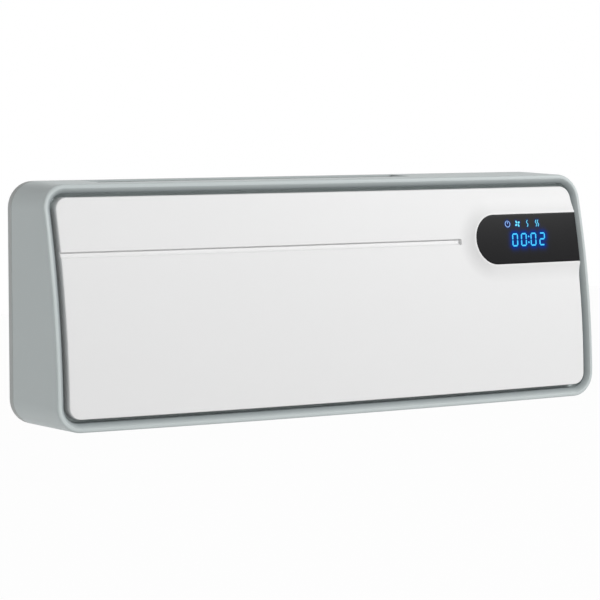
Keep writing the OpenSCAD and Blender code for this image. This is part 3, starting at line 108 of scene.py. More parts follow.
class HeaterPanelSettings(bpy.types.PropertyGroup):
    """Sizes of the front panel and of the display in it"""
    inset: length("Panel Inset", "Distance from the body's outline to the panel", 11)
    back: length("Panel Setback", "How far the panel lies behind the rim", 0.4)
    thickness: length("Panel Thickness", "Wall of the panel", 2.5)
    edge: length("Panel Edge", "Radius of the panel's edge", 0.8)
    groove_z: length("Groove Height", "Groove's upper edge over the middle", 41.9)
    groove_drop: length("Groove Run-out", "Height over which the groove runs out", 4.6)
    groove_depth: length("Groove Depth", "Depth at the groove's upper edge", 1.6)
    groove_end: length("Groove End", "Where the groove ends, from the middle", 118.6)
    groove_slot: length("Groove Slot", "Width of the deep slot along the upper edge", 1.1)
    display_z: length("Display Height", "Middle of the display over the body's middle", 40.5)
    display_left: length("Display Start", "Left end of the display, from the middle", 131.8)
    display_h: length("Window Height", "Height of the display window", 40.3)
    swell: length("Swelling", "How far the swelling stands out", 3.1)
    swell_w: length("Swelling Slope", "Width of the swelling's slope", 14)
    border: length("Border", "Width of the level border around the window", 1.2)
    window_back: length("Window Setback", "How far the window lies behind the border", 0.2)


class HeaterRepeatSettings(bpy.types.PropertyGroup):
    """Numbers and pitches of the pieces that repeat"""
    blades: count("Blades", "Blades of the fan rotor", 24, 6)
    rings: count("Rings", "Rings between the rotor's ends", 4)
    slat_pitch: length("Slat Pitch", "Distance between two slats of the intake", 7)
    slat_width: length("Slat Width", "Width of a slat", 2.4)
    weave_pitch: length("Weave Pitch", "Distance between two threads of the filter", 1.8)
    thread: length("Thread", "Thickness of a filter thread", 0.32)
    guard_bars: count("Guard Bars", "Long bars of the guard", 5)
    guard_ribs: count("Guard Ribs", "Cross ribs of the guard", 11)


class HeaterColourSettings(bpy.types.PropertyGroup):
    """Colours of the outside, with two darker ones painted as shade in the recess and in the gap"""
    casing: colour("Casing", "Casing and rim", (0.55, 0.60, 0.60))
    # Painted shade: the recess's slope takes this darker colour in place of the shade that falls
    # between the rim and the panel.
    recess: colour("Recess", "Walls of the recess behind the rim", (0.235, 0.265, 0.272))
    # Painted shade: the foot of the panel's skirt takes this darker colour in place of the shade
    # that falls down in the gap.
    gap: colour("Gap", "Foot of the panel's skirt, down in the gap", (0.66, 0.68, 0.68))
    cover: colour("Rear Cover", "Strip around the back edge", "cover_plastic")
    panel: colour("Panel", "Front panel", "panel_plastic")
    window: colour("Window", "Display window", "window_plastic")
    digits: colour("Digits", "Light of the digits", (0.06, 0.60, 1.0))


class HeaterStudioSettings(bpy.types.PropertyGroup):
    """Light and floor"""
    key: power("Key Light", "Power of the key light", 556)
    fill: power("Fill Light", "Power of the fill light", 11)
    side: power("Side Light", "Power of the side light", 15.3)
    top: power("Top Light", "Power of the top light", 2)
    sky: FloatProperty(name="Sky", description="Strength of the even light", default=0.2, min=0)
    floor_z: FloatProperty(name="Floor", description="Height of the floor", default=-0.55,
                           unit="LENGTH")


class InMm:
    """The settings of a group as plain numbers, its lengths in millimetres."""

    def __init__(self, group):
        self.group = group

    def __getattr__(self, key):
        settings = getattr(bpy.context.scene, self.group)
        value = getattr(settings, key)
        return value / MM if settings.bl_rna.properties[key].unit == "LENGTH" else value


BODY, PANEL, REPEATS = InMm("heater_body"), InMm("heater_panel"), InMm("heater_repeats")


def setting(name):
    """One of the outside's colours, with its alpha."""
    return (*getattr(bpy.context.scene.heater_colours, name), 1.0)


# ---- Node trees ------------------------------------------

class Value:
    """A node's output, to plug in or to reckon with. The node's other outputs go by name."""

    def __init__(self, socket):
        self.socket = socket

    def __getitem__(self, output):
        return Value(self.socket.node.outputs[output])


for sign, operation in (("add", "ADD"), ("sub", "SUBTRACT"), ("mul", "MULTIPLY"),
                        ("truediv", "DIVIDE")):
    setattr(Value, f"__{sign}__", lambda a, b, what=operation: maths(what, a, b))
    setattr(Value, f"__r{sign}__", lambda a, b, what=operation: maths(what, b, a))


def plug(socket, *values):
    for value in values:
        if isinstance(value, Value):
            socket.id_data.links.new(value.socket, socket)
        else:
            socket.default_value = value


def add(tree, kind, setup=None, **inputs):
    """New node. An input goes by its name, or by its place, as in _2. A list fills it in turn."""
    node = tree.nodes.new(kind)
    for key, value in (setup or {}).items():
        setattr(node, key, value)
    for key, value in inputs.items():
        socket = node.inputs[int(key[1:]) if key[0] == "_" else key.replace("_", " ")]
        plug(socket, *(value if isinstance(value, list) else [value]))
    return Value(node.outputs[0])


def maths(operation, *values, kind="ShaderNodeMath"):
    tree = next(v for v in values if isinstance(v, Value)).socket.id_data
    places = {f"_{k}": value for k, value in enumerate(values)}
    return add(tree, kind, {"operation": operation}, **places)


def vector(tree, **parts):
    return add(tree, "ShaderNodeCombineXYZ", **parts)


def socket_type(default):
    """Type that suits an input's default. A colour has four numbers."""
    if isinstance(default, tuple):
        return "Color" if len(default) == 4 else "Vector"
    return {int: "Int", float: "Float"}.get(type(default), default)


def new_tree(name, kind, outputs, **inputs):
    """Node group. An input is given by its default, or by its type where it has none."""
    tree = bpy.data.node_groups.new(name, kind)
    for label, default in inputs.items():
        item = tree.interface.new_socket(name=label.replace("_", " "), in_out="INPUT",
                                         socket_type="NodeSocket" + socket_type(default))
        if not isinstance(default, str):
            item.default_value = default
    for label, socket in outputs.items():
        tree.interface.new_socket(name=label, in_out="OUTPUT", socket_type="NodeSocket" + socket)
    given = Value(tree.nodes.new("NodeGroupInput").outputs[0])
    return tree, given, tree.nodes.new("NodeGroupOutput").inputs


def new_geometry_tree(name, **inputs):
    return new_tree(name, "GeometryNodeTree", {"Geometry": "Geometry"}, Geometry="Geometry",
                    **inputs, Material="Material")


def close_tree(tree, given, out, geometry):
    """Ends a tree in real geometry with its material."""
    real = add(tree, "GeometryNodeRealizeInstances", Geometry=geometry)
    plug(out["Geometry"], add(tree, "GeometryNodeSetMaterial", Geometry=real,
                              Material=given["Material"]))
    return tree


def front_curve_tree():
    """Moves flat geometry out onto the curved front, by each point's own share, follow."""
    tree, given, out = new_geometry_tree("Front Curve", Top_Depth=0.05, Bottom_Depth=0.08,
                                         Bulge=0.007, Crown=0.008, Width=0.5, Height=0.186)
    at = add(tree, "ShaderNodeSeparateXYZ", _0=add(tree, "GeometryNodeInputPosition"))
    s = at["Z"] / given["Height"] + 0.5
    bow = s * (1.0 - s) * (given["Bulge"] * 4.0)
    side = at["X"] * 2.0 / given["Width"]
    crown = given["Crown"] * (1.0 - side * side)
    slope = (given["Top Depth"] - given["Bottom Depth"]) * s
    depth = given["Bottom Depth"] + slope + (bow + crown)
    follow = add(tree, "GeometryNodeInputNamedAttribute", {"data_type": "FLOAT"}, Name="follow")
    return close_tree(tree, given, out, add(
        tree, "GeometryNodeSetPosition", Geometry=given["Geometry"],
        Offset=vector(tree, Y=depth * follow * -1.0)))


def row_tree():
    """Copies of one piece in a straight row."""
    tree, given, out = new_geometry_tree("Straight Row", Count=3, Start=(0.0, 0.0, 0.0),
                                         Step=(0.0, 0.0, 0.0))
    line = add(tree, "GeometryNodeMeshLine", {"mode": "OFFSET"}, Count=given["Count"],
               Start_Location=given["Start"], Offset=given["Step"])
    return close_tree(tree, given, out, add(tree, "GeometryNodeInstanceOnPoints", Points=line,
                                            Instance=given["Geometry"]))


def around_tree():
    """Copies of one piece around an axis along X."""
    tree, given, out = new_geometry_tree("Around Axis", Count=12, Centre=(0.0, 0.0, 0.0))
    points = add(tree, "GeometryNodePoints", Count=given["Count"], Position=given["Centre"])
    turn = add(tree, "GeometryNodeInputIndex") * math.tau / given["Count"]
    return close_tree(tree, given, out, add(
        tree, "GeometryNodeInstanceOnPoints", Points=points, Instance=given["Geometry"],
        Rotation=vector(tree, X=turn)))


def screw_tree():
    """Screw with a cross recess at each point, its tip towards the point's own facing."""
    tree, given, out = new_geometry_tree("Cross Screws", Head_Radius=0.0029, Head_Height=0.002,
                                         Shank_Radius=0.0015, Length=0.012)
    radius, height, run = given["Head Radius"], given["Head Height"], given["Length"]
    exact = {"solver": "EXACT"}

    def lifted(piece, z):
        return add(tree, "GeometryNodeTransform", Geometry=piece, Translation=vector(tree, Z=z))
    head = add(tree, "GeometryNodeMeshCone", Vertices=28, Depth=height, Radius_Top=radius,
               Radius_Bottom=radius * 0.84)
    wide, thin = radius * 1.2, radius * 0.24
    bars = [add(tree, "GeometryNodeMeshCube", Size=vector(tree, X=a, Y=b, Z=height))
            for a, b in ((wide, thin), (thin, wide))]
    cross = add(tree, "GeometryNodeMeshBoolean", {"operation": "UNION", **exact}, Mesh_2=bars)
    head = add(tree, "GeometryNodeMeshBoolean", {"operation": "DIFFERENCE", **exact},
               Mesh_1=lifted(head, height * -1.0), Mesh_2=lifted(cross, height * -1.0))
    shank = add(tree, "GeometryNodeMeshCylinder", Vertices=20, Radius=given["Shank Radius"],
                Depth=run)
    screw = add(tree, "GeometryNodeJoinGeometry", Geometry=[head, lifted(shank, run * 0.5)])
    facing = add(tree, "GeometryNodeInputNamedAttribute", {"data_type": "FLOAT_VECTOR"},
                 Name="facing")
    turn = add(tree, "FunctionNodeAlignRotationToVector", {"axis": "Z"}, Vector=facing)
    return close_tree(tree, given, out, add(
        tree, "GeometryNodeInstanceOnPoints", Points=given["Geometry"], Instance=screw,
        Rotation=turn))


def lead_tree():
    """Insulated lead along each poly line, with rounded bends."""
    tree, given, out = new_geometry_tree("Insulated Lead", Radius=0.001, Bend=0.004)
    curve = add(tree, "GeometryNodeMeshToCurve", Mesh=given["Geometry"])
    curve = add(tree, "GeometryNodeFilletCurve", {"mode": "POLY"}, Curve=curve, Count=5,
                Radius=given["Bend"], Limit_Radius=True)
    ring = add(tree, "GeometryNodeCurvePrimitiveCircle", Resolution=12, Radius=given["Radius"])
    return close_tree(tree, given, out, add(tree, "GeometryNodeCurveToMesh", Curve=curve,
                                            Profile_Curve=ring, Fill_Caps=True))


TREES = {}


def tree_named(maker):
    """Builds a node tree on its first use."""
    if maker not in TREES:
        TREES[maker] = maker()
    return TREES[maker]


# ---- Meshes ----------------------------------------------

@contextmanager
def edited(mesh, into=None):
    """Opens a mesh for bmesh's tools. What they leave goes back into it, or into another."""
    bm = bmesh.new()
    bm.from_mesh(mesh)
    yield bm
    bm.to_mesh(into or mesh)
    bm.free()


def raw_mesh(points, faces, edges=()):
    """Mesh from points in millimetres."""
    mesh = bpy.data.meshes.new("made")
    points = (np.asarray(points, float).reshape(-1, 3) * MM).tolist()
    mesh.from_pydata(points, list(edges), list(faces))
    mesh.validate()
    return mesh


def outwards(mesh):
    with edited(mesh) as bm:
        bmesh.ops.remove_doubles(bm, verts=bm.verts, dist=1e-7)
        bmesh.ops.recalc_face_normals(bm, faces=bm.faces)
    return mesh


def joined(meshes):
    """One mesh from several, which are used up."""
    whole, *rest = meshes
    with edited(whole) as bm:
        for mesh in rest:
            bm.from_mesh(mesh)
            bpy.data.meshes.remove(mesh)
    return whole


def put(name, mesh):
    """Links a new object with the mesh into the scene."""
    obj = bpy.data.objects.new(name, mesh)
    bpy.context.scene.collection.objects.link(obj)
    return obj


def settled(mesh, modify):
    """Mesh with the modifiers that modify(object) adds made real."""
    obj = put("work", mesh)
    modify(obj)
    graph = bpy.context.evaluated_depsgraph_get()
    made = bpy.data.meshes.new_from_object(obj.evaluated_get(graph))
    bpy.data.objects.remove(obj)
    return made


def grown(mesh, maker, material, **inputs):
    """Mesh that a node tree makes from another, its sizes in metres."""
    tree = tree_named(maker)
    inputs["Material"] = material

    def modify(obj):
        modifier = obj.modifiers.new(tree.name, "NODES")
        modifier.node_group = tree
        for item in tree.interface.items_tree:
            key = item.name.replace(" ", "_")
            if item.in_out == "INPUT" and key in inputs:
                modifier[item.identifier] = inputs[key]
    return settled(mesh, modify)


def cut_out(mesh, cutters):
    """Mesh less the cutters, which are closed meshes taken one after another."""
    for cutter in cutters:
        tool = put("cutter", cutter)

        def modify(obj):
            cut = obj.modifiers.new("Cut", "BOOLEAN")
            cut.operation, cut.solver, cut.object = "DIFFERENCE", "EXACT", tool
        mesh = settled(mesh, modify)
        bpy.data.objects.remove(tool)
    return mesh


def without_slivers(mesh):
    """The mesh without the faces of no area that a cut leaves."""
    with edited(mesh) as bm:
        bmesh.ops.remove_doubles(bm, verts=bm.verts, dist=1e-6)
        bmesh.ops.dissolve_degenerate(bm, dist=2e-6, edges=bm.edges)
    return mesh


def box_mesh(x, d, z, round_edge=0.0):
    """Box from ranges of x, depth and z, its edges rounded."""
    centre = Vector(((x[0] + x[1]) / 2, -(d[0] + d[1]) / 2, (z[0] + z[1]) / 2)) * MM
    size = Vector((x[1] - x[0], d[1] - d[0], z[1] - z[0])) * MM
    mesh = bpy.data.meshes.new("box")
    with edited(mesh) as bm:
        bmesh.ops.create_cube(bm, size=1.0)
        bmesh.ops.transform(bm, verts=bm.verts, matrix=(
            Matrix.Translation(centre) @ Matrix.Diagonal((*size, 1))))
        if round_edge:
            bmesh.ops.bevel(bm, geom=bm.edges[:], offset=round_edge * MM, segments=3, profile=0.5,
                            affect="EDGES", clamp_overlap=True)
    return mesh


AXES = {"x": Matrix.Rotation(math.radians(90), 4, "Y"),
        "y": Matrix.Rotation(math.radians(90), 4, "X"), "z": Matrix.Identity(4)}


def turned(profile, axis, at, steps):
    """Turned piece: profile gives (radius, height) pairs in a closed loop or from axis to axis.

    Heights run along +X, along -Y, which is out of the wall, or along +Z, from the place at."""
    angles = [math.tau * k / steps for k in range(steps)]
    points = [(r * math.cos(a), r * math.sin(a), h) for r, h in profile for a in angles]
    faces = []
    for j in range(len(profile)):
        i = (j + 1) % len(profile)
        if max(profile[j][0], profile[i][0]) > 1e-9:
            faces += [(j * steps + k, j * steps + (k + 1) % steps, i * steps + (k + 1) % steps,
                       i * steps + k) for k in range(steps)]
    mesh = raw_mesh(points, faces)
    mesh.transform(Matrix.Translation(Vector(at) * MM) @ AXES[axis])
    return outwards(mesh)


def rod(axis, at, low, high, radius, round_edge=0.0, steps=32):
    e = round_edge
    rim = [(radius - e + e * math.cos(a), high - e + e * math.sin(a))
           for a in np.linspace(0, math.pi / 2, 4)] if e else [(radius, high)]
    foot = [(r, low + high - h) for r, h in reversed(rim)]
    return turned([(0, low), *foot, *rim, (0, high)], axis, at, steps)


def tube(axis, at, low, high, radius, bore, steps=32):
    return turned([(bore, low), (radius, low), (radius, high), (bore, high)], axis, at, steps)


def extruded(section, ends, point):
    """Closed section made solid between two ends. point(u, v, end) gives a corner's place."""
    n = len(section)
    points = [point(u, v, end) for end in ends for u, v in section]
    faces = [tuple(range(n)), tuple(range(2 * n - 1, n - 1, -1))]
    faces += [(i, (i + 1) % n, n + (i + 1) % n, n + i) for i in range(n)]
    return outwards(raw_mesh(points, faces))


def along_depth(section, d0, d1):
    return extruded(section, (d0, d1), lambda x, z, d: (x, -d, z))


def along_x(section, x0, x1):
    return extruded(section, (x0, x1), lambda d, z, x: (x, -d, z))


def share(mesh, name, values):
    """Gives each point of the mesh its own value."""
    mesh.attributes.new(name, "FLOAT", "POINT").data.foreach_set("value", values)


def place(name, mesh, node, sharp=32):
    """Puts a finished mesh into the scene as the piece that stands for a node."""
    slot = SLOT_OF[node]
    mesh.name = name
    mesh.materials.clear()
    mesh.materials.append(finish_of(slot))
    for face in mesh.polygons:
        face.use_smooth = True
        face.material_index = 0
    mesh.set_sharp_from_angle(angle=math.radians(sharp))
    obj = put(name, mesh)
    obj.modifiers.new("Even Normals", "WEIGHTED_NORMAL").keep_sharp = True
    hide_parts(node)
    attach(obj, BODY_OF[node])


def softened(node, width, name=None):
    """Stands for a node with a copy of it that has rounded edges."""
    mesh = bpy.data.meshes.new("soft")
    with edited(NODES[node].data, mesh) as bm:
        bmesh.ops.remove_doubles(bm, verts=bm.verts, dist=2e-6)
        bmesh.ops.dissolve_limit(bm, angle_limit=math.radians(0.4), verts=bm.verts, edges=bm.edges)

    def modify(obj):
        bevel = obj.modifiers.new("Soft Edges", "BEVEL")
        bevel.width, bevel.segments, bevel.limit_method = width * MM, 2, "ANGLE"
        bevel.angle_limit, bevel.use_clamp_overlap = math.radians(40), True
    place(name or node + "_soft", settled(mesh, modify), node)


def soften(**widths):
    for node, width in widths.items():
        softened(node, width)


# ---- Shapes of the body ----------------------------------

# Screws by x and z, openings by their ranges, the gland and the cable's hole by their middle
COVER_SCREWS = [(238, 76), (238, -76), (-238, 76), (-238, -76), (-214, 0), (140, -76)]
PANEL_SCREWS = [(-215, -60), (0, -60), (215, -60), (-215, 62), (0, 62), (212, 73)]
DUCT_X, INTAKE_DEPTH, OUTLET_DEPTH = (-192.15, 92.15), (9.45, 38.75), (9.85, 62.15)
GLAND, CABLE_HOLE = (200, -25, 0), (171, 0, -27)
SWITCH_DEPTH, SWITCH_Z = (33.35, 46.65), (-60.15, -39.85)
FAN_D, FAN_Z = 34, 22  # the fan's axis
LOUVRE_D, LOUVRE_Z = 30, -84  # the louvre's axis
BOARD_D = 13.7  # where the leads end on the control board
GLAND_BORE = 6.65  # radius of the gland's neck
BOSS = 4.2  # radius of the screws' bosses


def front_depth(x, z):
    b = BODY
    s = z / b.height + 0.5
    return (b.depth_bottom + (b.depth_top - b.depth_bottom) * s + 4 * b.bulge * s * (1 - s)
            + b.crown * (1 - (2 * x / b.width) ** 2))


def inset_of(x, z, width, height, radius):
    """Distance inside a rounded rectangle."""
    qx, qz = abs(x) - width / 2 + radius, abs(z) - height / 2 + radius
    return radius - math.hypot(max(qx, 0), max(qz, 0)) - min(max(qx, qz), 0)


def clamped(value):
    return min(1.0, max(0.0, value))


def outline(width, height, radius, arc=14, long=50, short=20):
    """Rounded rectangle as points, anticlockwise as seen from the front."""
    a, b, r = width / 2, height / 2, radius
    corners = [(a - r, b - r, 0), (-a + r, b - r, 90), (-a + r, -b + r, 180), (a - r, -b + r, 270)]
    points = []
    for k, (cx, cz, start) in enumerate(corners):
        turn = [math.radians(start + 90 * i / arc) for i in range(arc + 1)]
        points += [(cx + r * math.cos(t), cz + r * math.sin(t)) for t in turn]
        nx, nz, begin = corners[(k + 1) % 4]
        end = (nx + r * math.cos(math.radians(begin)), nz + r * math.sin(math.radians(begin)))
        steps = long if k % 2 == 0 else short
        px, pz = points[-1]
        points += [(px + (end[0] - px) * i / steps, pz + (end[1] - pz) * i / steps)
                   for i in range(1, steps)]
    return points


def rounded_line(corners):
    """Line through (x, y, radius) corners, each rounded by its radius."""
    line, steps = [corners[0][:2]], 5
    for before, corner, after in zip(corners, corners[1:], corners[2:]):
        c = Vector(corner[:2])
        u, v = (Vector(before[:2]) - c).normalized(), (Vector(after[:2]) - c).normalized()
        if corner[2] <= 0 or u.angle(v) > 3.1:
            line.append(tuple(c))
            continue
        leg = corner[2] / math.tan(u.angle(v) / 2)
        middle = c + (u + v).normalized() * (corner[2] / math.sin(u.angle(v) / 2))
        p, q = c + u * leg - middle, c + v * leg - middle
        turn = p.angle_signed(q)
        line += [tuple(middle + Matrix.Rotation(-turn * i / steps, 2) @ p)
                 for i in range(steps + 1)]
    return line + [corners[-1][:2]]


def follow_front(mesh, slot, follow=None):
    """Takes a flat mesh out onto the curved front, all of it or by each point's share."""
    b = bpy.context.scene.heater_body
    share(mesh, "follow", follow or [1.0] * len(mesh.vertices))
    made = grown(mesh, front_curve_tree, finish_of(slot), Top_Depth=b.depth_top,
                 Bottom_Depth=b.depth_bottom, Bulge=b.bulge, Crown=b.crown, Width=b.width,
                 Height=b.height)
    made.attributes.remove(made.attributes["follow"])
    return made


class HeaterPiece:
    """What the operators share."""
    bl_options = {"REGISTER", "UNDO"}


class HEATER_OT_casing(HeaterPiece, bpy.types.Operator):
    """Makes the casing with its light rim and the recess behind the panel, the recess's slope
    painted darker as shade
    """
    bl_idname = "heater.casing"
    bl_label = "Casing"

    def execute(self, context):
        b = BODY
        top, low = b.height / 2, -b.height / 2
        # Intake, outlet, the switch's flange, the gland's seat and the hole for the cable
        cuts = [box_mesh(DUCT_X, INTAKE_DEPTH, (top - 8, top + 1)),
                box_mesh(DUCT_X, OUTLET_DEPTH, (low - 1, low + 8)),
                box_mesh((247, 251), (31.85, 48.15), (-61.65, -38.35)),
                rod("z", GLAND, low - 1, low + 1.9, 9.15),
                rod("y", CABLE_HOLE, 60, 80, 6)]
        deeper = [box_mesh((238, 251), SWITCH_DEPTH, SWITCH_Z),
                  rod("z", GLAND, low - 1, low + 12, GLAND_BORE)]
        mesh = without_slivers(cut_out(self.shell(b), [joined(cuts), joined(deeper)]))
        # The recess attribute says how much painted shade, in the recess colour, lies on each point
        # of the slope.
        share(mesh, "recess", [self.shade(b, *(v.co / MM)) for v in mesh.vertices])
        parts = [mesh]
        for x, z in COVER_SCREWS:
            parts.append(tube("y", (x, 0, z), 10, front_depth(x, z) - b.recess - 1, BOSS, 1.5))
        for x, z in PANEL_SCREWS:
            d = front_depth(x, z) - b.recess
            parts.append(tube("y", (x, 0, z), d - 3.2, d + 1, BOSS, 1.65))
        parts.append(cut_out(box_mesh((243.5, 247.6), (29.5, 50.5), (-64, -36), 0.4),
                             [box_mesh((240, 250), SWITCH_DEPTH, SWITCH_Z)]))
        parts.append(tube("z", GLAND, low + 1.9, low + 6, 10.6, GLAND_BORE))
        place("casing_shell", joined(parts), "casing")
        return {"FINISHED"}

    @staticmethod
    def shell(b):
        """Wall that runs from the recess floor over the rim and the sides, and back inside."""
        # Corners from the recess floor out over the rim: inset, setback from the front, radius
        front = rounded_line([(60, b.recess, 0), (8.2, b.recess, 0.8), (8.0, 4, 0.8),
                              (4.15, 0.42, 0.25), (1.1, -0.12, b.edge), (1.04, 4, 0), (1.0, 8, 0)])
        inside = b.recess + 2.2
        # Rings: inset, setback or place on y, and how much it follows the curved front
        rings = [(i, y, 1.0) for i, y in [(88, b.recess), *front]]
        rings += [(i, -b.cover - d, 0.0)
                  for i, d in ((0.02, 1.2), (0.02, 0.45), (0.14, 0.13), (0.45, 0), (b.wall, 0))]
        rings += [(i, inside + y, 1.0)
                  for i, y in ((3.6, 2), (4.2, 0.4), (5.2, 0), (60, 0), (88, 0))]
        points, follow = [], []
        for inset, y, part in rings:
            ring = outline(b.width - 2 * inset, b.height - 2 * inset, max(b.corner - inset, 1.5))
            points += [(x, y, z) for x, z in ring]
            follow += [part] * len(ring)
        n, m = len(ring), len(rings)
        faces = [(j * n + i, j * n + (i + 1) % n, (j + 1) * n + (i + 1) % n, (j + 1) * n + i)
                 for j in range(m - 1) for i in range(n)]
        faces += [tuple(range(n)), tuple(range(m * n - 1, (m - 1) * n - 1, -1))]
        mesh = raw_mesh(points, faces)
        with edited(mesh) as bm:
            bmesh.ops.triangulate(bm, faces=[f for f in bm.faces if len(f.verts) > 4])
            bmesh.ops.recalc_face_normals(bm, faces=bm.faces)
        return follow_front(mesh, "casing_plastic", follow)

    @staticmethod
    def shade(b, x, y, z):
        """How far a point lies on the recess's slope, from 0 to 1, where the slope is painted
        darker as shade.
        """
        behind = front_depth(x, z) + y
        if behind >= 11 or inset_of(x, z, b.width, b.height, b.corner) <= 4.05:
            return 0.0
        return clamped((behind - 0.46) / 0.16) * (1 - clamped(behind - 4.4))


class HEATER_OT_rear(HeaterPiece, bpy.types.Operator):
    """Makes the rear cover and the wall bracket"""
    bl_idname = "heater.rear"
    bl_label = "Rear Cover and Bracket"

    def execute(self, context):
        softened("rear_cover", 0.35, "rear_cover_shell")
        softened("wall_bracket", 0.3, "wall_plate")
        return {"FINISHED"}


# ---- Front panel and display -----------------------------

def window_axis():
    """Radius of the window's round left end, and its centre along x."""
    r = PANEL.display_h / 2
    return r, PANEL.display_left + r


def display_distance(x, z):
    """Distance from the window's outline, below zero inside it."""
    r, cx = window_axis()
    dz = z - PANEL.display_z
    return (math.hypot(x - cx, dz) if x < cx else abs(dz)) - r


def window_curve(distance, x_end, step=1.6):
    """Outline of the window at a distance, from its lower right end round to the upper one."""
    (r, cx), cz = window_axis(), PANEL.display_z
    out = r + distance
    straight = [x_end + (cx - x_end) * i / 40 for i in range(40)]
    turn = max(16, int(math.pi * out / step))
    arc = [(cx - out * math.sin(math.pi * i / turn), cz - out * math.cos(math.pi * i / turn))
           for i in range(turn + 1)]
    return [(x, cz - out) for x in straight] + arc + [(x, cz + out) for x in reversed(straight)]


def swell(x, z):
    t = clamped(1 - (display_distance(x, z) - PANEL.border) / PANEL.swell_w)
    return PANEL.swell * t * t


def quarter_drop(distance, radius):
    """How far a rounded edge has fallen at a distance inside the edge."""
    t = clamped(1 - distance / radius)
    return radius * (1 - math.sqrt(1 - t * t))


def triangulated(curves, loose):
    """Triangles over closed and open curves, which become edges, and loose points."""
    points, edges = [], []
    for closed, curve in curves:
        start = len(points)
        points += curve
        edges += [(start + i, start + i + 1) for i in range(len(curve) - 1)]
        if closed:
            edges.append((start + len(curve) - 1, start))
    points += loose
    made = delaunay_2d_cdt([Vector(p) for p in points], edges, [], 0, 1e-5)
    return [tuple(v) for v in made[0]], [tuple(f) for f in made[2]]


def border_edges(faces):
    """Directed edges that only one face has."""
    seen = dict.fromkeys((a, b) for f in faces for a, b in zip(f, f[1:] + f[:1]))
    return [(a, b) for a, b in seen if (b, a) not in seen]


def border_set(faces):
    return {frozenset(e) for e in border_edges(faces)}


class LayeredSheet:
    """Closed solid from layers that share one triangulation, each a list of faces with a depth."""

    def __init__(self, flat):
        self.flat, self.points, self.faces, self.known = flat, [], [], {}

    def at(self, v, y):
        key = (v, round(y, 5))
        if key not in self.known:
            self.known[key] = len(self.points)
            self.points.append((self.flat[v][0], y, self.flat[v][1]))
        return self.known[key]

    def layer(self, faces, y_of):
        self.faces += [tuple(self.at(v, y_of(*self.flat[v])) for v in f) for f in faces]

    def wall(self, edges, y_from, y_to):
        for a, b in edges:
            quad = tuple(dict.fromkeys(self.at(v, y_of(*self.flat[v])) for v, y_of in (
                (a, y_from), (b, y_from), (b, y_to), (a, y_to))))
            if len(quad) > 2:
                self.faces.append(quad)

    def mesh(self, slot):
        return follow_front(outwards(raw_mesh(self.points, self.faces)), slot)


def centre(flat, face):
    return sum(flat[v][0] for v in face) / 3, sum(flat[v][1] for v in face) / 3


def panel_outline():
    """Width, height and corner radius of the panel."""
    return (BODY.width - 2 * PANEL.inset, BODY.height - 2 * PANEL.inset,
            BODY.corner - PANEL.inset)


def groove_lines():
    """Top and foot of the groove, its slot's lower edge, its end, and where the end slot starts."""
    top, end = PANEL.groove_z, PANEL.groove_end
    return top, top - PANEL.groove_drop, top - PANEL.groove_slot, end, end - 2.2


def groove(x, z):
    """Depth of the groove: deep in the slot along its top and end, then running out downwards."""
    top, foot, slot_z, end, slot_x = groove_lines()
    if x > end + 0.01 or z > top + 0.2 or z < foot:
        return 0.0
    if z > top - 0.01:
        return 0.06 if z < top + 0.1 else 0.0
    if z > slot_z - 0.01 or x > slot_x - 0.01:
        return PANEL.groove_depth + 0.7
    return PANEL.groove_depth * (1 - ((top - z) / PANEL.groove_drop) ** 6)


# How far the panel's faces lie behind the body's front

def panel_face(x, z):
    edge = quarter_drop(inset_of(x, z, *panel_outline()), PANEL.edge)
    lip = quarter_drop(max(display_distance(x, z), 0), 0.42)
    return PANEL.back - swell(x, z) + groove(x, z) + edge + lip * 0.5


def panel_ceiling(x, z):
    return PANEL.back - swell(x, z) + PANEL.thickness


def under_window(x, z):
    return panel_ceiling(x, z) + PANEL.window_back


def skirt_end(x, z):
    return BODY.recess - 0.3


def panel_plan():
    """Flat panel cut into triangles along its edge, the swelling's levels and the groove."""
    p = PANEL
    w, h, r = panel_outline()
    right, left = w / 2, -w / 2
    rings = [p.edge * (1 - math.cos(a)) for a in (0, 0.5, 0.85, 1.15, math.pi / 2)]
    curves = [(True, outline(w - 2 * i, h - 2 * i, max(r - i * 0.9, 1.0), 10, 90, 36))
              for i in (*rings, p.thickness, 5.0)]
    levels = [-0.02, 0.0, 0.08, 0.22, 0.42, p.border]
    levels += [p.border + p.swell_w * (k / 12) ** 1.3 for k in range(1, 13)]
    curves += [(False, [at for at in window_curve(d, right) if inset_of(*at, w, h, r) > -0.001])
               for d in levels]
    top, foot, slot_z, end, slot_x = groove_lines()
    heights = [top + 0.22, top, top - 0.03, slot_z, slot_z - 0.06]
    heights += [foot + dz for dz in (2.4, 1.6, 1.0, 0.5, 0.2, 0, -0.3)]
    curves += [(False, [(left + (end - left) * i / 90, z) for i in range(91)]) for z in heights]
    curves += [(False, [(x, top - p.groove_drop * i / 12) for i in range(13)])
               for x in (slot_x - 0.06, slot_x, end, end + 0.03)]
    loose = [(x, z) for x in np.arange(left + 9, right - 8, 7.0)
             for z in np.arange(-h / 2 + 8, h / 2 - 7, 6.0)
             if display_distance(x, z) > p.border + p.swell_w + 1.5
             and not (x < end + 3 and foot - 2 < z < top + 2)]
    return triangulated(curves, loose)


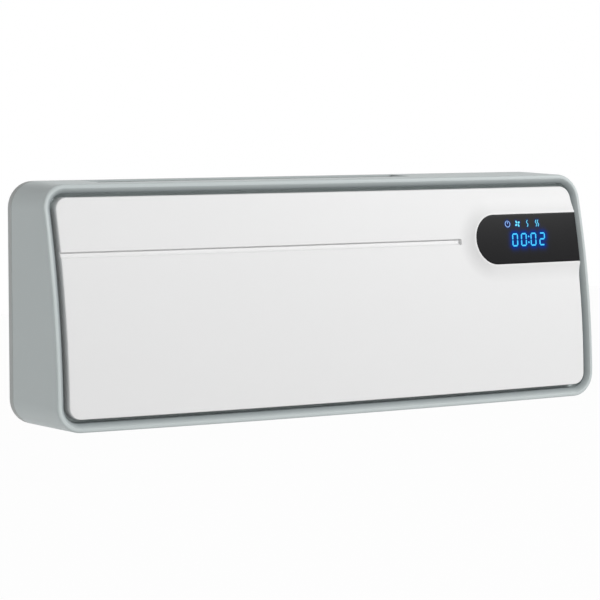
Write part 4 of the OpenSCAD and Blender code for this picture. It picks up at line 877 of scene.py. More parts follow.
def panel_sheet():
    """The panel as a closed solid: face, ceiling, the window's ledge and hole, and the skirt."""
    flat, faces = panel_plan()
    size, wall = panel_outline(), PANEL.thickness
    window = [f for f in faces if display_distance(*centre(flat, f)) < -0.005]
    inner = {f for f in faces if inset_of(*centre(flat, f), *size) > wall - 0.01}
    glass = set(window)
    hole = glass & inner
    ledge = [f for f in window if f not in inner]
    sheet = LayeredSheet(flat)
    sheet.layer([f for f in faces if f not in glass], panel_face)
    sheet.layer(ledge, under_window)
    sheet.layer([f for f in faces if f in inner and f not in hole], panel_ceiling)
    sheet.layer([f for f in faces if f not in inner], skirt_end)
    on_ledge, on_hole, outside = border_set(ledge), border_set(hole), border_set(faces)
    for e in border_edges(faces):
        sheet.wall([e], under_window if frozenset(e) in on_ledge else panel_face, skirt_end)
    for e in border_set(window):
        if e in on_hole:
            sheet.wall([tuple(e)], panel_face, panel_ceiling)
        elif e in on_ledge and e not in outside:
            sheet.wall([tuple(e)], panel_face, under_window)
    for e in border_set(inner):
        sheet.wall([tuple(e)], under_window if e in on_hole else panel_ceiling, skirt_end)
    return sheet.mesh("panel_plastic")


class HEATER_OT_panel(HeaterPiece, bpy.types.Operator):
    """Makes the white front panel with its groove and the swelling around the display, the foot of
    its skirt painted darker as shade
    """
    bl_idname = "heater.panel"
    bl_label = "Front Panel"

    def execute(self, context):
        mesh = panel_sheet()
        # Painted shade: the skirt turns to the gap colour from 3 to 6 mm behind the front, where
        # shade falls in the gap.
        share(mesh, "recess", [clamped((y + front_depth(x, z) - 3) / 3)
                               for x, y, z in (v.co / MM for v in mesh.vertices)])
        parts = [mesh]
        for x, z in PANEL_SCREWS:
            d = front_depth(x, z)
            top = d - PANEL.back - PANEL.thickness * 0.5 + swell(x, z) * 0.9
            parts.append(tube("y", (x, 0, z), d - BODY.recess + 1, top, BOSS, 1.5))
        place("front_panel_cover", joined(parts), "front_panel", sharp=38)
        return {"FINISHED"}


class HEATER_OT_display(HeaterPiece, bpy.types.Operator):
    """Makes the black display window, with a glow around what is lit"""
    bl_idname = "heater.display"
    bl_label = "Display"

    def execute(self, context):
        p = PANEL
        right = BODY.width / 2 - p.inset
        gap, drop = 0.15, 0.35  # around the glass, and how far its rounded edge falls
        half = p.display_h / 2 - gap
        face = p.back - p.swell + p.window_back
        curves = [(False, window_curve(d, right, 1.0))
                  for d in (-gap, -gap - 0.06, -gap - 0.17, -gap - drop, -1.6)]
        curves.append((False, [(right, p.display_z + half * s / 30) for s in range(-30, 31)]))
        loose = [(x, z) for x in np.arange(p.display_left + 2, right - 1, 0.62)
                 for z in np.arange(p.display_z - half + 2, p.display_z + half - 1.9, 0.62)
                 if display_distance(x, z) < -2.1]
        flat, faces = triangulated(curves, loose)
        faces = [f for f in faces if display_distance(*centre(flat, f)) < -gap]

        def face_y(x, z):
            return face + quarter_drop(min(-display_distance(x, z) - gap, right - x), drop)

        def back_y(x, z):
            return face + p.thickness - 0.05
        sheet = LayeredSheet(flat)
        sheet.layer(faces, face_y)
        sheet.layer(faces, back_y)
        sheet.wall(border_edges(faces), face_y, back_y)
        mesh = sheet.mesh("window_plastic")
        flat = np.array([(v.co.x, v.co.z) for v in mesh.vertices]) / MM
        digits, icons = digit_shapes(), icon_shapes()
        glow = (np.exp(-(reach(flat, digits) / 2.1) ** 1.4)
                + 0.5 * np.exp(-(reach(flat, icons) / 0.8) ** 1.4))
        share(mesh, "glow", np.clip(glow, 0, 1).astype(np.float32))
        place("display_glass", mesh, "display_window")
        for name, node, shapes in (("clock_digits", "display_digits", digits),
                                   ("lamp_icons", "display_icons", icons)):
            mesh = joined([along_depth(s, 0.03 - face, -0.8 - face) for s in shapes])
            place(name, follow_front(mesh, SLOT_OF[node]), node)
        return {"FINISHED"}


def reach(points, shapes):
    """Distance from each point to the nearest edge of the shapes."""
    best = np.full(len(points), 1e9)
    for shape in shapes:
        for a, b in zip(shape, shape[1:] + shape[:1]):
            a, d = np.array(a), np.array(b) - np.array(a)
            t = np.clip(((points - a) @ d) / max(d @ d, 1e-9), 0, 1)
            best = np.minimum(best, np.linalg.norm(points - a - t[:, None] * d, axis=1))
    return best


def on_window(shapes):
    """Takes shapes from the display's own level frame to the leaning front."""
    x0, z0 = window_axis()[1] + 34.2, PANEL.display_z
    slope_x = front_depth(x0 + 0.5, z0) - front_depth(x0 - 0.5, z0)
    slope_z = front_depth(x0, z0 + 0.5) - front_depth(x0, z0 - 0.5)
    kx, kz = 1 / math.hypot(1, slope_x), 1 / math.hypot(1, slope_z)
    return [[(x0 + x * kx, z0 + z * kz) for x, z in shape] for shape in shapes]


def circle(x, z, rx, rz=None, turn=0.0, steps=20, span=(0.0, 1.0)):
    """Points of a circle or ellipse, or of a part of one."""
    rz, a = rz or rx, math.radians(turn)
    points = []
    for i in range(steps):
        part = i / steps if span == (0.0, 1.0) else i / (steps - 1)
        t = math.tau * (span[0] + (span[1] - span[0]) * part)
        u, v = rx * math.cos(t), rz * math.sin(t)
        points.append((x + u * math.cos(a) - v * math.sin(a),
                       z + u * math.sin(a) + v * math.cos(a)))
    return points


def digit_shapes():
    """The segments of 00:02 and the colon, leaning a little."""
    h, w, stroke, lean, drop, pitch = 11.0, 6.2, 1.25, 0.09, -0.8, 9.4
    x, z, t = (w - stroke) / 2, (h - stroke) / 2, stroke / 2
    ends = [((-x, z), (x, z)), ((x, z), (x, 0)), ((x, 0), (x, -z)), ((-x, -z), (x, -z)),
            ((-x, 0), (-x, -z)), ((-x, z), (-x, 0)), ((-x, 0), (x, 0))]
    shapes = []
    for middle, on in ((-1.53, "012345"), (-0.55, "012345"), (0.53, "012345"), (1.52, "01346")):
        for k in map(int, on):
            a, b = Vector(ends[k][0]), Vector(ends[k][1])
            u = (b - a).normalized()
            n = Vector((-u.y, u.x))
            a, b = a + 0.14 * u, b - 0.14 * u
            hexagon = (a, a + t * (u + n), b + t * (n - u), b, b - t * (u + n), a + t * (u - n))
            shapes.append([(c.x + lean * c.y + middle * pitch, c.y + drop) for c in hexagon])
    shapes += [circle(s * 2.4 * lean, s * 2.4 + drop, 0.75) for s in (-1, 1)]
    return on_window(shapes)


def icon_shapes():
    """The power sign, the fan and one and two waves of warm air."""
    up, r, pitch, shift, gap = 12.5, 3.0, 10.4, 0.4, 0.055
    x = shift - 2 * pitch
    ring = (circle(x, up, r - 0.3, steps=40, span=(0.25 + gap, 1.25 - gap))
            + circle(x, up, r - 0.85, steps=40, span=(1.25 - gap * 1.3, 0.25 + gap * 1.3)))
    bar = [(x - 0.27, up + 0.1), (x + 0.27, up + 0.1), (x + 0.27, up + r), (x - 0.27, up + r)]
    shapes = [ring, bar]
    for turn in range(25, 360, 90):
        a = math.radians(turn)
        u, v = 0.58 * r, 0.1 * r
        shapes.append(circle(shift - pitch + u * math.cos(a) - v * math.sin(a),
                             up + u * math.sin(a) + v * math.cos(a), 0.4 * r, 0.272 * r, turn))
    for middle in (shift, shift + pitch - 1, shift + pitch + 1):
        line = [Vector((-0.6 * math.sin(math.tau * 1.24 * u), u * (2 * r - 0.6)))
                for u in np.linspace(-0.5, 0.5, 17)]
        sides = {-0.3: [], 0.3: []}
        for i, q in enumerate(line):
            along = (line[min(i + 1, 16)] - line[max(i - 1, 0)]).normalized()
            for k, side in sides.items():
                side.append((middle + q.x - along.y * k, up + q.y + along.x * k))
        shapes.append(sides[-0.3] + sides[0.3][::-1])
    return on_window(shapes)


# ---- Finishes --------------------------------------------

GREY = (0.7, 0.7, 0.7, 1.0)
SURFACE = {"Colour": "Color", "Roughness": "Float", "Normal": "Vector"}
RELIEF = {"Colour": "Color", "Height": "Float"}


def object_place(tree):
    return add(tree, "ShaderNodeTexCoord")["Object"]


def scaled(tree, colour, scale):
    return add(tree, "ShaderNodeVectorMath", {"operation": "SCALE"}, _0=colour, Scale=scale)


def bump(tree, strength, height):
    return add(tree, "ShaderNodeBump", Strength=strength, Distance=0.1 * MM, Height=height)


def mixed(tree, part, first, second):
    return add(tree, "ShaderNodeMix", {"data_type": "RGBA"}, _0=part, _6=first, _7=second)[2]


def grain_group():
    """Fine moulded grain with slight changes of tone."""
    tree, given, out = new_tree("Moulded Grain", "ShaderNodeTree", SURFACE, Colour=GREY,
                                Grain_Size=0.0005, Grain_Height=0.2, Tone=0.02, Roughness=0.4,
                                Stretch=(1.0, 1.0, 1.0))
    at = maths("MULTIPLY", object_place(tree), given["Stretch"], kind="ShaderNodeVectorMath")
    fine = add(tree, "ShaderNodeTexNoise", Vector=at, Detail=3.0, Roughness=0.6,
               Scale=1.0 / given["Grain Size"])
    broad = add(tree, "ShaderNodeTexNoise", Vector=at, Detail=3.0, Scale=22.0)
    plug(out["Colour"], scaled(tree, given["Colour"], (broad - 0.5) * given["Tone"] + 1.0))
    plug(out["Roughness"], (fine - 0.5) * 0.16 + given["Roughness"])
    plug(out["Normal"], bump(tree, given["Grain Height"], fine))
    return tree


def streak_group():
    """Rolled or drawn metal: streaks along X and faint patches, as zinc or casting leaves."""
    tree, given, out = new_tree("Metal Streaks", "ShaderNodeTree", SURFACE, Colour=GREY,
                                Streak_Size=0.0006, Patches=0.1, Roughness=0.35)
    at = object_place(tree)
    drawn = maths("MULTIPLY", at, (0.06, 1.0, 1.0), kind="ShaderNodeVectorMath")
    fine = add(tree, "ShaderNodeTexNoise", Vector=drawn, Detail=4.0,
               Scale=1.0 / given["Streak Size"])
    cells = add(tree, "ShaderNodeTexVoronoi", Vector=at, Scale=170.0)
    level = add(tree, "ShaderNodeSeparateColor", Color=cells["Color"])
    plug(out["Colour"], scaled(tree, given["Colour"], (level - 0.5) * given["Patches"] + 1.0))
    plug(out["Roughness"], (fine - 0.5) * 0.3 + given["Roughness"])
    plug(out["Normal"], bump(tree, 0.12, fine))
    return tree


def bands_group():
    """Even bands across one axis, as on stacked sheets, woven cloth or wound wire, darker in their
    troughs as painted shade between them.
    """
    tree, given, out = new_tree("Even Bands", "ShaderNodeTree", RELIEF, Colour=GREY,
                                Axis=(1.0, 0.0, 0.0), Pitch=0.0005, Contrast=0.5)
    run = maths("DOT_PRODUCT", object_place(tree), given["Axis"], kind="ShaderNodeVectorMath")
    wave = maths("SINE", run["Value"] * math.tau / given["Pitch"]) * 0.5 + 0.5
    # Painted shade: the colour darkens with the height, down in the troughs between the bands.
    shade = wave * given["Contrast"] + (1.0 - given["Contrast"])
    plug(out["Colour"], scaled(tree, given["Colour"], shade))
    plug(out["Height"], wave)
    return tree


def tracks_group():
    """Circuit tracks showing through solder resist."""
    tree, given, out = new_tree("Board Tracks", "ShaderNodeTree", RELIEF, Colour=GREY,
                                Track_Colour=(0.1, 0.36, 0.17, 1.0))
    cells = add(tree, "ShaderNodeTexVoronoi", {"distance": "MANHATTAN", "feature": "F1"},
                Vector=object_place(tree), Scale=95.0, Randomness=0.8)
    track = maths("GREATER_THAN", maths("FRACT", cells["Distance"] * 4.0), 0.62)
    plug(out["Colour"], mixed(tree, track, given["Colour"], given["Track Colour"]))
    plug(out["Height"], track)
    return tree


def use_group(tree, maker, **inputs):
    return add(tree, "ShaderNodeGroup", {"node_tree": tree_named(maker)}, **inputs)


def new_material(name):
    """A material's tree, and a function that fills its shader's sockets and returns it."""
    material = bpy.data.materials.new(name)
    material.use_nodes = True
    sockets = material.node_tree.nodes["Principled BSDF"].inputs

    def filled(**values):
        for key, value in values.items():
            plug(sockets[key.replace("_", " ")], value)
        return material
    return material.node_tree, filled


def tinted(tree, slot, outside=None, inside=None):
    """The slot's own colour or a setting's, with another setting's darker colour painted as shade
    down in the recess and the gap.
    """
    if inside:
        # Where the recess attribute marks it, the second colour is painted shade.
        recess = add(tree, "ShaderNodeAttribute", {"attribute_name": "recess"})
        return mixed(tree, recess["Fac"], setting(outside), setting(inside))
    return setting(outside) if outside else (*COLOUR_OF[slot][:3], 1.0)


def moulded(slot, size, height, tone, rough, coat=0.0, stretch=(1.0, 1.0, 1.0), tints=()):
    """Moulded plastic or rubber."""
    tree, filled = new_material(slot)
    grain = use_group(tree, grain_group, Colour=tinted(tree, slot, *tints), Grain_Size=size * MM,
                      Grain_Height=height, Tone=tone, Roughness=rough, Stretch=stretch)
    return filled(Base_Color=grain["Colour"], Roughness=grain["Roughness"], Normal=grain["Normal"],
                  Specular_IOR_Level=0.25, Coat_Weight=coat, Coat_Roughness=0.12)


def metal(slot, size, patches, rough):
    """Sheet, turned or drawn metal."""
    tree, filled = new_material(slot)
    streaks = use_group(tree, streak_group, Colour=tinted(tree, slot), Streak_Size=size * MM,
                        Patches=patches, Roughness=rough)
    return filled(Base_Color=streaks["Colour"], Roughness=streaks["Roughness"],
                  Normal=streaks["Normal"], Metallic=1.0)


def banded(slot, axis, pitch, contrast, metallic, rough):
    """Stacked sheets, wound wire or twisted thread."""
    tree, filled = new_material(slot)
    bands = use_group(tree, bands_group, Colour=tinted(tree, slot), Axis=axis, Pitch=pitch * MM,
                      Contrast=contrast)
    return filled(Base_Color=bands["Colour"], Normal=bump(tree, 0.5, bands["Height"]),
                  Metallic=metallic, Roughness=rough)


def board(slot):
    """Circuit board."""
    tree, filled = new_material(slot)
    tracks = use_group(tree, tracks_group, Colour=tinted(tree, slot))
    return filled(Base_Color=tracks["Colour"], Normal=bump(tree, 0.3, tracks["Height"]),
                  Roughness=0.3)


def display_black(slot):
    """Smooth black window that glows deep blue near what is lit."""
    tree, filled = new_material(slot)
    grain = use_group(tree, grain_group, Colour=setting("window"), Grain_Size=0.0008,
                      Grain_Height=0.02, Tone=0.05, Roughness=0.3)
    glow = add(tree, "ShaderNodeAttribute", {"attribute_name": "glow"})["Fac"]
    dark = 1.0 - glow
    return filled(Base_Color=scaled(tree, grain["Colour"], dark), Roughness=grain["Roughness"],
                  Specular_IOR_Level=dark * 0.05, Emission_Strength=1.0,
                  Emission_Color=scaled(tree, (0.0, 0.035, 0.28), glow))


def lit(slot, left=None, right=None, edge_x=0.0):
    """Light guide lit from behind, whose colour changes at a place along X."""
    tree, filled = new_material(slot)
    at = object_place(tree)
    past = maths("GREATER_THAN", add(tree, "ShaderNodeSeparateXYZ", _0=at), edge_x * MM)
    light = mixed(tree, past, left or setting("digits"), right or setting("digits"))
    uneven = add(tree, "ShaderNodeTexNoise", Scale=900.0, Vector=at) * 0.24 + 0.88
    return filled(Emission_Color=scaled(tree, light, uneven), Base_Color=(0.01, 0.05, 0.12, 1.0),
                  Specular_IOR_Level=0.05, Emission_Strength=1.0, Roughness=0.4)


# Moulded: grain size in mm and height, tone, roughness, coat, stretch, colours by setting, the
# second one painted shade down in the recess.
# Metal: streak size in mm, patches, roughness. Banded: axis, pitch, contrast, metallic, roughness.
RECIPES = {
    # The casing's recess colour is painted shade on the recess's slope.
    "casing_plastic": (moulded, 0.55, 0.10, 0.02, 0.44, 0.0, (1, 1, 1), ("casing", "recess")),
    "cover_plastic": (moulded, 0.55, 0.14, 0.03, 0.5, 0.0, (1, 1, 1), ("cover",)),
    # The panel's gap colour is painted shade on the foot of its skirt.
    "panel_plastic": (moulded, 0.9, 0.06, 0.012, 0.5, 0.0, (0.35, 1, 1), ("panel", "gap")),
    "window_plastic": (display_black,),
    "lit_digits": (lit,),
    "lit_icons": (lit, (0.32, 0.54, 0.98, 1.0), (0.16, 0.78, 1.0, 1.0), 171),
    "grille_plastic": (moulded, 0.5, 0.15, 0.05, 0.5),
    "duct_plastic": (moulded, 0.6, 0.2, 0.08, 0.55),
    "fan_plastic": (moulded, 0.6, 0.15, 0.06, 0.5),
    "mesh_nylon": (banded, (1, 1, 1), 0.5, 0.4, 0.0, 0.6),
    "galvanised_steel": (metal, 0.8, 0.22, 0.4),
    "screw_steel": (metal, 0.3, 0.1, 0.28),
    "shaft_steel": (metal, 0.2, 0.05, 0.2),
    "lamination_steel": (banded, (1, 0, 0), 0.5, 0.5, 0.9, 0.45),
    "bearing_bronze": (metal, 0.3, 0.25, 0.35),
    "terminal_brass": (metal, 0.3, 0.1, 0.25),
    "coil_copper": (banded, (1, 0, 0), 0.45, 0.45, 0.85, 0.3),
    "heater_aluminium": (metal, 0.4, 0.12, 0.35),
    "heater_block_plastic": (moulded, 0.5, 0.25, 0.08, 0.6),
    "mount_rubber": (moulded, 0.5, 0.25, 0.1, 0.7),
    "gland_rubber": (moulded, 0.5, 0.2, 0.1, 0.6),
    "black_plastic": (moulded, 0.4, 0.15, 0.08, 0.45),
    "switch_plastic": (moulded, 0.4, 0.06, 0.05, 0.3, 0.2),
    "holder_plastic": (moulded, 0.5, 0.15, 0.04, 0.5),
    "board_laminate": (board,),
    "terminal_plastic": (moulded, 0.4, 0.12, 0.06, 0.4),
    "capacitor_plastic": (moulded, 0.8, 0.05, 0.05, 0.3, 0.3),
    "fuse_body": (moulded, 0.4, 0.2, 0.1, 0.55),
}
INSULATION = (moulded, 0.5, 0.1, 0.06, 0.45)
FINISHED = {}


def finish_of(slot):
    """The slot's material, built on its first use. The leads share a recipe."""
    if slot not in FINISHED:
        maker, *values = RECIPES.get(slot, INSULATION)
        FINISHED[slot] = maker(slot, *values)
    return FINISHED[slot]


def dress(node):
    """Gives a node that stays its finish."""
    obj = NODES[node]
    obj.data.materials.clear()
    obj.data.materials.append(finish_of(SLOT_OF[node]))


# ---- Pieces that repeat ----------------------------------

def ranges(node):
    """A node's box as ranges of x, depth and z."""
    lo, hi = (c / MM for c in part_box(node))
    return (lo.x, hi.x), (-hi.y, -lo.y), (lo.z, hi.z)


def in_row(piece, material, number, first, step):
    """Row of copies of a piece, from a first shift on by a step, in millimetres."""
    return grown(piece, row_tree, material, Count=number, Start=[c * MM for c in first],
                 Step=[c * MM for c in step])


class HEATER_OT_screws(HeaterPiece, bpy.types.Operator):
    """Makes the screws, each with a cross recess in its head"""
    bl_idname = "heater.screws"
    bl_label = "Screws"

    def execute(self, context):
        floor = BODY.recess + 3.2
        pan = (2.9, 2, 1.5)
        # Node, seats of the heads, the way the tips point, radius and height of the head and
        # radius of the shank, length
        for node, seats, facing, (head, tall, shank), run in (
                ("cover_screws", [(x, -5, z) for x, z in COVER_SCREWS], (0, -1, 0), pan, 14),
                ("panel_screws", [(x, floor - front_depth(x, z), z) for x, z in PANEL_SCREWS],
                 (0, -1, 0), pan, 8.2),
                ("board_screws", [(x, 0.1 - BOARD_D, z) for x in (155, 231) for z in (-55, 45)],
                 (0, 1, 0), pan, 8.6),
                ("motor_screws", [(128, -(FAN_D + a * 15.8), FAN_Z + c * 15.8)
                                  for a in (-1, 1) for c in (-1, 1)], (-1, 0, 0), pan, 38),
                ("louvre_motor_screws", [(93.2, -(LOUVRE_D + a * 15), LOUVRE_Z + 6)
                                         for a in (-1, 1)], (-1, 0, 0), (2.6, 1.6, 1.2), 3)):
            mesh = raw_mesh(seats, [])
            mesh.attributes.new("facing", "FLOAT_VECTOR", "POINT").data.foreach_set(
                "vector", np.tile(np.array(facing, np.float32), len(seats)))
            mesh = grown(mesh, screw_tree, finish_of("screw_steel"), Head_Radius=head * MM,
                         Head_Height=tall * MM, Shank_Radius=shank * MM, Length=run * MM)
            place(node + "_cross_head", mesh, node)
        return {"FINISHED"}


class HEATER_OT_filter(HeaterPiece, bpy.types.Operator):
    """Makes the slatted filter cassette and the woven mesh in it"""
    bl_idname = "heater.filter"
    bl_label = "Filter"

    def execute(self, context):
        s = REPEATS
        x, d, z = ranges("filter_cassette")
        wall, top = 1.6, 2.0
        shell = cut_out(box_mesh(x, d, z, 0.5), [
            box_mesh((x[0] + wall, x[1] - wall), (d[0] + wall, d[1] - wall),
                     (z[0] - 1, z[1] - top)),
            box_mesh((x[0] + 4, x[1] - 4), (d[0] + 2.5, d[1] - 2.5), (z[1] - 3, z[1] + 1))])
        last = int((x[1] - x[0] - 2 * wall) / s.slat_pitch) - 1
        slat = box_mesh((-s.slat_width / 2, s.slat_width / 2), (d[0] + 2.3, d[1] - 2.3),
                        (z[1] - top, z[1] - 0.15), 0.45)
        slats = in_row(slat, finish_of("grille_plastic"), last + 1,
                       ((x[0] + x[1]) / 2 - last / 2 * s.slat_pitch, 0, 0), (s.slat_pitch, 0, 0))
        middle = (d[0] + d[1]) / 2
        rib = box_mesh((x[0] + wall, x[1] - wall), (middle - 0.8, middle + 0.8),
                       (z[1] - top - 1.2, z[1] - 0.6), 0.3)
        place("intake_grille", joined([shell, slats, rib]), "filter_cassette")
        x, d, z = ranges("filter_mesh")
        t, nylon = s.thread, finish_of("mesh_nylon")
        level = ((z[0] + z[1]) / 2 - t / 2, (z[0] + z[1]) / 2 + t / 2)
        wide, deep = x[1] - x[0] - t, d[1] - d[0] - t
        across, along = int(wide / s.weave_pitch), int(deep / s.weave_pitch)
        place("filter_weave", joined([
            in_row(box_mesh((0, t), d, level), nylon, across + 1, (x[0], 0, 0),
                   (wide / across, 0, 0)),
            in_row(box_mesh(x, (0, t), level), nylon, along + 1, (0, -d[0], 0),
                   (0, -deep / along, 0))]), "filter_mesh")
        return {"FINISHED"}


class HEATER_OT_fan(HeaterPiece, bpy.types.Operator):
    """Makes the tangential fan rotor with its curved blades"""
    bl_idname = "heater.fan"
    bl_label = "Fan Rotor"

    def execute(self, context):
        x, d, z = ranges("fan_rotor")
        radius = (z[1] - z[0]) / 2 - 0.02
        at = (0, -(d[0] + d[1]) / 2, (z[0] + z[1]) / 2)
        ring, thick = 6.0, 1.0
        section = []
        for side, steps in ((1, range(9)), (-1, range(8, -1, -1))):
            for u in (i / 8 for i in steps):
                r = radius - 0.1 - (ring - 0.2) * u
                half = thick / 2 * math.sin(math.pi * min(max(u, 0.06), 0.94)) ** 0.35
                a = 0.34 * math.sin(math.pi * u * 0.5) + side * half / r
                section.append((r * math.cos(a), r * math.sin(a)))
        blade = along_x(section, x[0] + 0.5, x[1] - 0.5)
        parts = [grown(blade, around_tree, finish_of("fan_plastic"), Count=REPEATS.blades,
                       Centre=[c * MM for c in at])]
        for i in range(1, REPEATS.rings + 1):
            middle = x[0] + (x[1] - x[0]) * i / (REPEATS.rings + 1)
            parts.append(tube("x", at, middle - 0.8, middle + 0.8, radius, radius - ring, 72))
        # Section of an end with its hub: radius, distance from the rotor's end
        cap = [(3.0, 0), (7.0, 0), (7.3, 0.1), (radius - 0.4, 0), (radius, 0.4), (radius, 2),
               (9, 2), (7, 4), (7, 12), (6.4, 12), (3.0, 12)]
        for end, side in ((x[0], 1), (x[1], -1)):
            parts.append(turned([(r, end + side * h) for r, h in cap], "x", at, 72))
        place("fan_drum", joined(parts), "fan_rotor")
        soften(motor_shaft=0.3, fan_axle=0.3, motor_rotor=0.3)
        return {"FINISHED"}


class HEATER_OT_outlet(HeaterPiece, bpy.types.Operator):
    """Makes the outlet's louvre, frame and guard"""
    bl_idname = "heater.outlet"
    bl_label = "Outlet"

    def execute(self, context):
        soften(outlet_frame=0.3)
        self.guard()
        self.louvre()
        soften(louvre_motor_shaft=0.2)
        return {"FINISHED"}

    @staticmethod
    def guard():
        s, plastic = REPEATS, finish_of("duct_plastic")
        x, d, z = ranges("outlet_guard")
        mouth_x, mouth_d, overlap = (-190, 90), (12, 60), 0.5
        rim = cut_out(box_mesh(x, d, z, 0.4), [box_mesh(mouth_x, mouth_d, (z[0] - 1, z[1] + 1))])
        at, half = (0, 0, (z[0] + z[1]) / 2), (z[1] - z[0]) / 2 - 0.1
        bar = rod("x", at, mouth_x[0] - overlap, mouth_x[1] + overlap, half, 0.0, 12)
        rib = rod("y", at, mouth_d[0] - overlap, mouth_d[1] + overlap, half * 0.85, 0.0, 12)
        step = (mouth_d[1] - mouth_d[0]) / (s.guard_bars + 1)
        bars = in_row(bar, plastic, s.guard_bars, (0, -(mouth_d[0] + step), 0), (0, -step, 0))
        first, last = mouth_x[0] - 2, mouth_x[1] + 2
        pitch = (last - first) / (s.guard_ribs + 1)
        ribs = in_row(rib, plastic, s.guard_ribs, (first + pitch, 0, 0), (pitch, 0, 0))
        place("outlet_grid", joined([rim, bars, ribs]), "outlet_guard")

    @staticmethod
    def louvre():
        """Blade that thins out from its hub to both edges, with the pin at its left end."""
        back, ahead, hub, edge, thick, thin = 17.2, 29.2, 3.3, 0.8, 2.0, 0.8
        section = []
        for side, us in ((1, np.linspace(0, 1, 41)), (-1, np.linspace(1, 0, 41))):
            for u in us:
                at = -back + (back + ahead) * u
                plate = thin + (thick - thin) * (1 - abs(at) / (back if at < 0 else ahead))
                end = min(at + back, ahead - at)
                plate *= math.sqrt(max(0.0, 1 - (1 - min(end / edge, 1)) ** 2))
                boss = math.sqrt(max(0.0, hub ** 2 - at * at)) if abs(at) < hub else 0.0
                section.append((LOUVRE_D + at, LOUVRE_Z + side * max(plate, boss)))
        section = [p for i, p in enumerate(section) if p != section[i - 1]]
        left_end = ranges("outlet_louvre")[0][0]
        pin = rod("x", (0, -LOUVRE_D, LOUVRE_Z), left_end, -189, 2.0, 0.3)
        place("louvre_blade", joined([along_x(section, -189.4, 89.4), pin]), "outlet_louvre",
              sharp=40)


def tipped(mesh, at, degrees):
    """Turns a mesh about Y and moves it to a place."""
    mesh.transform(Matrix.Translation(Vector(at) * MM)
                   @ Matrix.Rotation(math.radians(degrees), 4, "Y"))
    return mesh


class HEATER_OT_switch(HeaterPiece, bpy.types.Operator):
    """Makes the rocker switch and its marks, and the cord gland"""
    bl_idname = "heater.switch"
    bl_label = "Switch and Gland"

    def execute(self, context):
        soften(switch_housing=0.35, switch_rocker=0.3)
        # The rocker's two halves slope by 6 degrees, and off it lies tipped by 8 on its pivot
        pivot, lean, slope, out, half = (246, -40, -50), -8, 6, 2.38, 4.4
        ring = tube("x", (0, 0, 0), -0.02, 0.16, 1.5, 1.1)
        bar = box_mesh((-0.02, 0.16), (-0.2, 0.2), (-1.5, 1.5))
        marks = joined([tipped(ring, (out, 0, -half), slope), tipped(bar, (out, 0, half), -slope)])
        obj = put("switch_marks", tipped(marks, pivot, lean))
        marks.materials.append(finish_of("holder_plastic"))
        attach(obj, "rocker")
        soften(cord_gland=0.4)
        return {"FINISHED"}


class HEATER_OT_ducts(HeaterPiece, bpy.types.Operator):
    """Makes the ducts, the intake frame and the heater inside them"""
    bl_idname = "heater.ducts"
    bl_label = "Ducts and Heater"

    def execute(self, context):
        soften(intake_frame=0.3, fan_scroll=0.3, stabiliser=0.3, duct_end_left=0.3,
               duct_end_right=0.3, heater_blocks=0.4, heater_bars=0.3, heater_terminals=0.15)
        dress("heater_fins")
        soften(thermostat=0.4, thermal_fuse=0.4)
        return {"FINISHED"}


class HEATER_OT_motors(HeaterPiece, bpy.types.Operator):
    """Makes the fan motor, its bearings and the louvre motor"""
    bl_idname = "heater.motors"
    bl_label = "Motors"

    def execute(self, context):
        soften(motor_stator=0.2, motor_coil=1.0, motor_bracket_inner=0.25,
               motor_bracket_outer=0.25, motor_bearings=0.3, motor_spacers=0.2, axle_bush=0.3,
               bush_mount=0.4, louvre_motor=0.25)
        return {"FINISHED"}


class HEATER_OT_electronics(HeaterPiece, bpy.types.Operator):
    """Makes the boards and what stands on them, and the leads"""
    bl_idname = "heater.electronics"
    bl_label = "Electronics"

    def execute(self, context):
        soften(control_board=0.2, display_board=0.2, relays=0.5, terminal_blocks=0.3,
               filter_capacitor=1.2, buzzer=0.5, display_module=0.3, display_holder=0.3)
        dress("infrared_receiver")
        sides = (-1, 1)
        # Routes of the leads by node, as places in x, depth and z
        leads = {
            "display_cable": [[(171, 66.08, 26.5), (171, 74.08, -15), (171, 73.34, -27),
                               (171, BOARD_D, -27)]],
            "heater_leads": [[(99.1, 33.4 + 13.65 * s, -50), (114.1, 33.4 + 13.65 * s, -50),
                              (143, 32.3 + 2.7 * s, -42.5),
                              (191 + 21.333 * s, 32.3 + 2.7 * s, -42.5),
                              (191 + 21.333 * s, BOARD_D + 10, -42.5)] for s in (-1, 0, 1)],
            "motor_leads": [[(127.1, 34 + 4 * s, 64), (131.1, 34 + 4 * s, 64),
                             (172.5 + 4 * s, 32.6, 27), (172.5 + 4 * s, 28.7, 27)] for s in sides],
            "louvre_leads": [[(106.3, 30, -78), (114.3, 30, -78), (131.8, 30, -67.7),
                              (143, 30, -62), (179, 17.6, -58), (179, BOARD_D, -58)]],
            "switch_leads": [[(221.9, 40, -50 + 6 * s), (217.9, 40, -50 + 6 * s),
                              (218.9 + 4 * s, 21.6, -56), (218.9 + 4 * s, BOARD_D, -56)]
                             for s in sides]}
        for node, routes in leads.items():
            points, edges = [], []
            for route in routes:
                edges += [(len(points) + i, len(points) + i + 1) for i in range(len(route) - 1)]
                points += [(x, -d, z) for x, d, z in route]
            radius, bend = 1.6 if node == "display_cable" else 1.1, 3
            mesh = grown(raw_mesh(points, [], edges), lead_tree, finish_of(SLOT_OF[node]),
                         Radius=radius * MM, Bend=bend * MM)
            place(node + "_round", mesh, node)
        return {"FINISHED"}


# ---- Stage -----------------------------------------------

def seen_directly(tree):
    """1 for rays from the camera, in a mirror or through glass, 0 for all others."""
    path = add(tree, "ShaderNodeLightPath")
    return maths("MAXIMUM", maths("MAXIMUM", path["Is Camera Ray"], path["Is Glossy Ray"]),
                 path["Is Transmission Ray"])


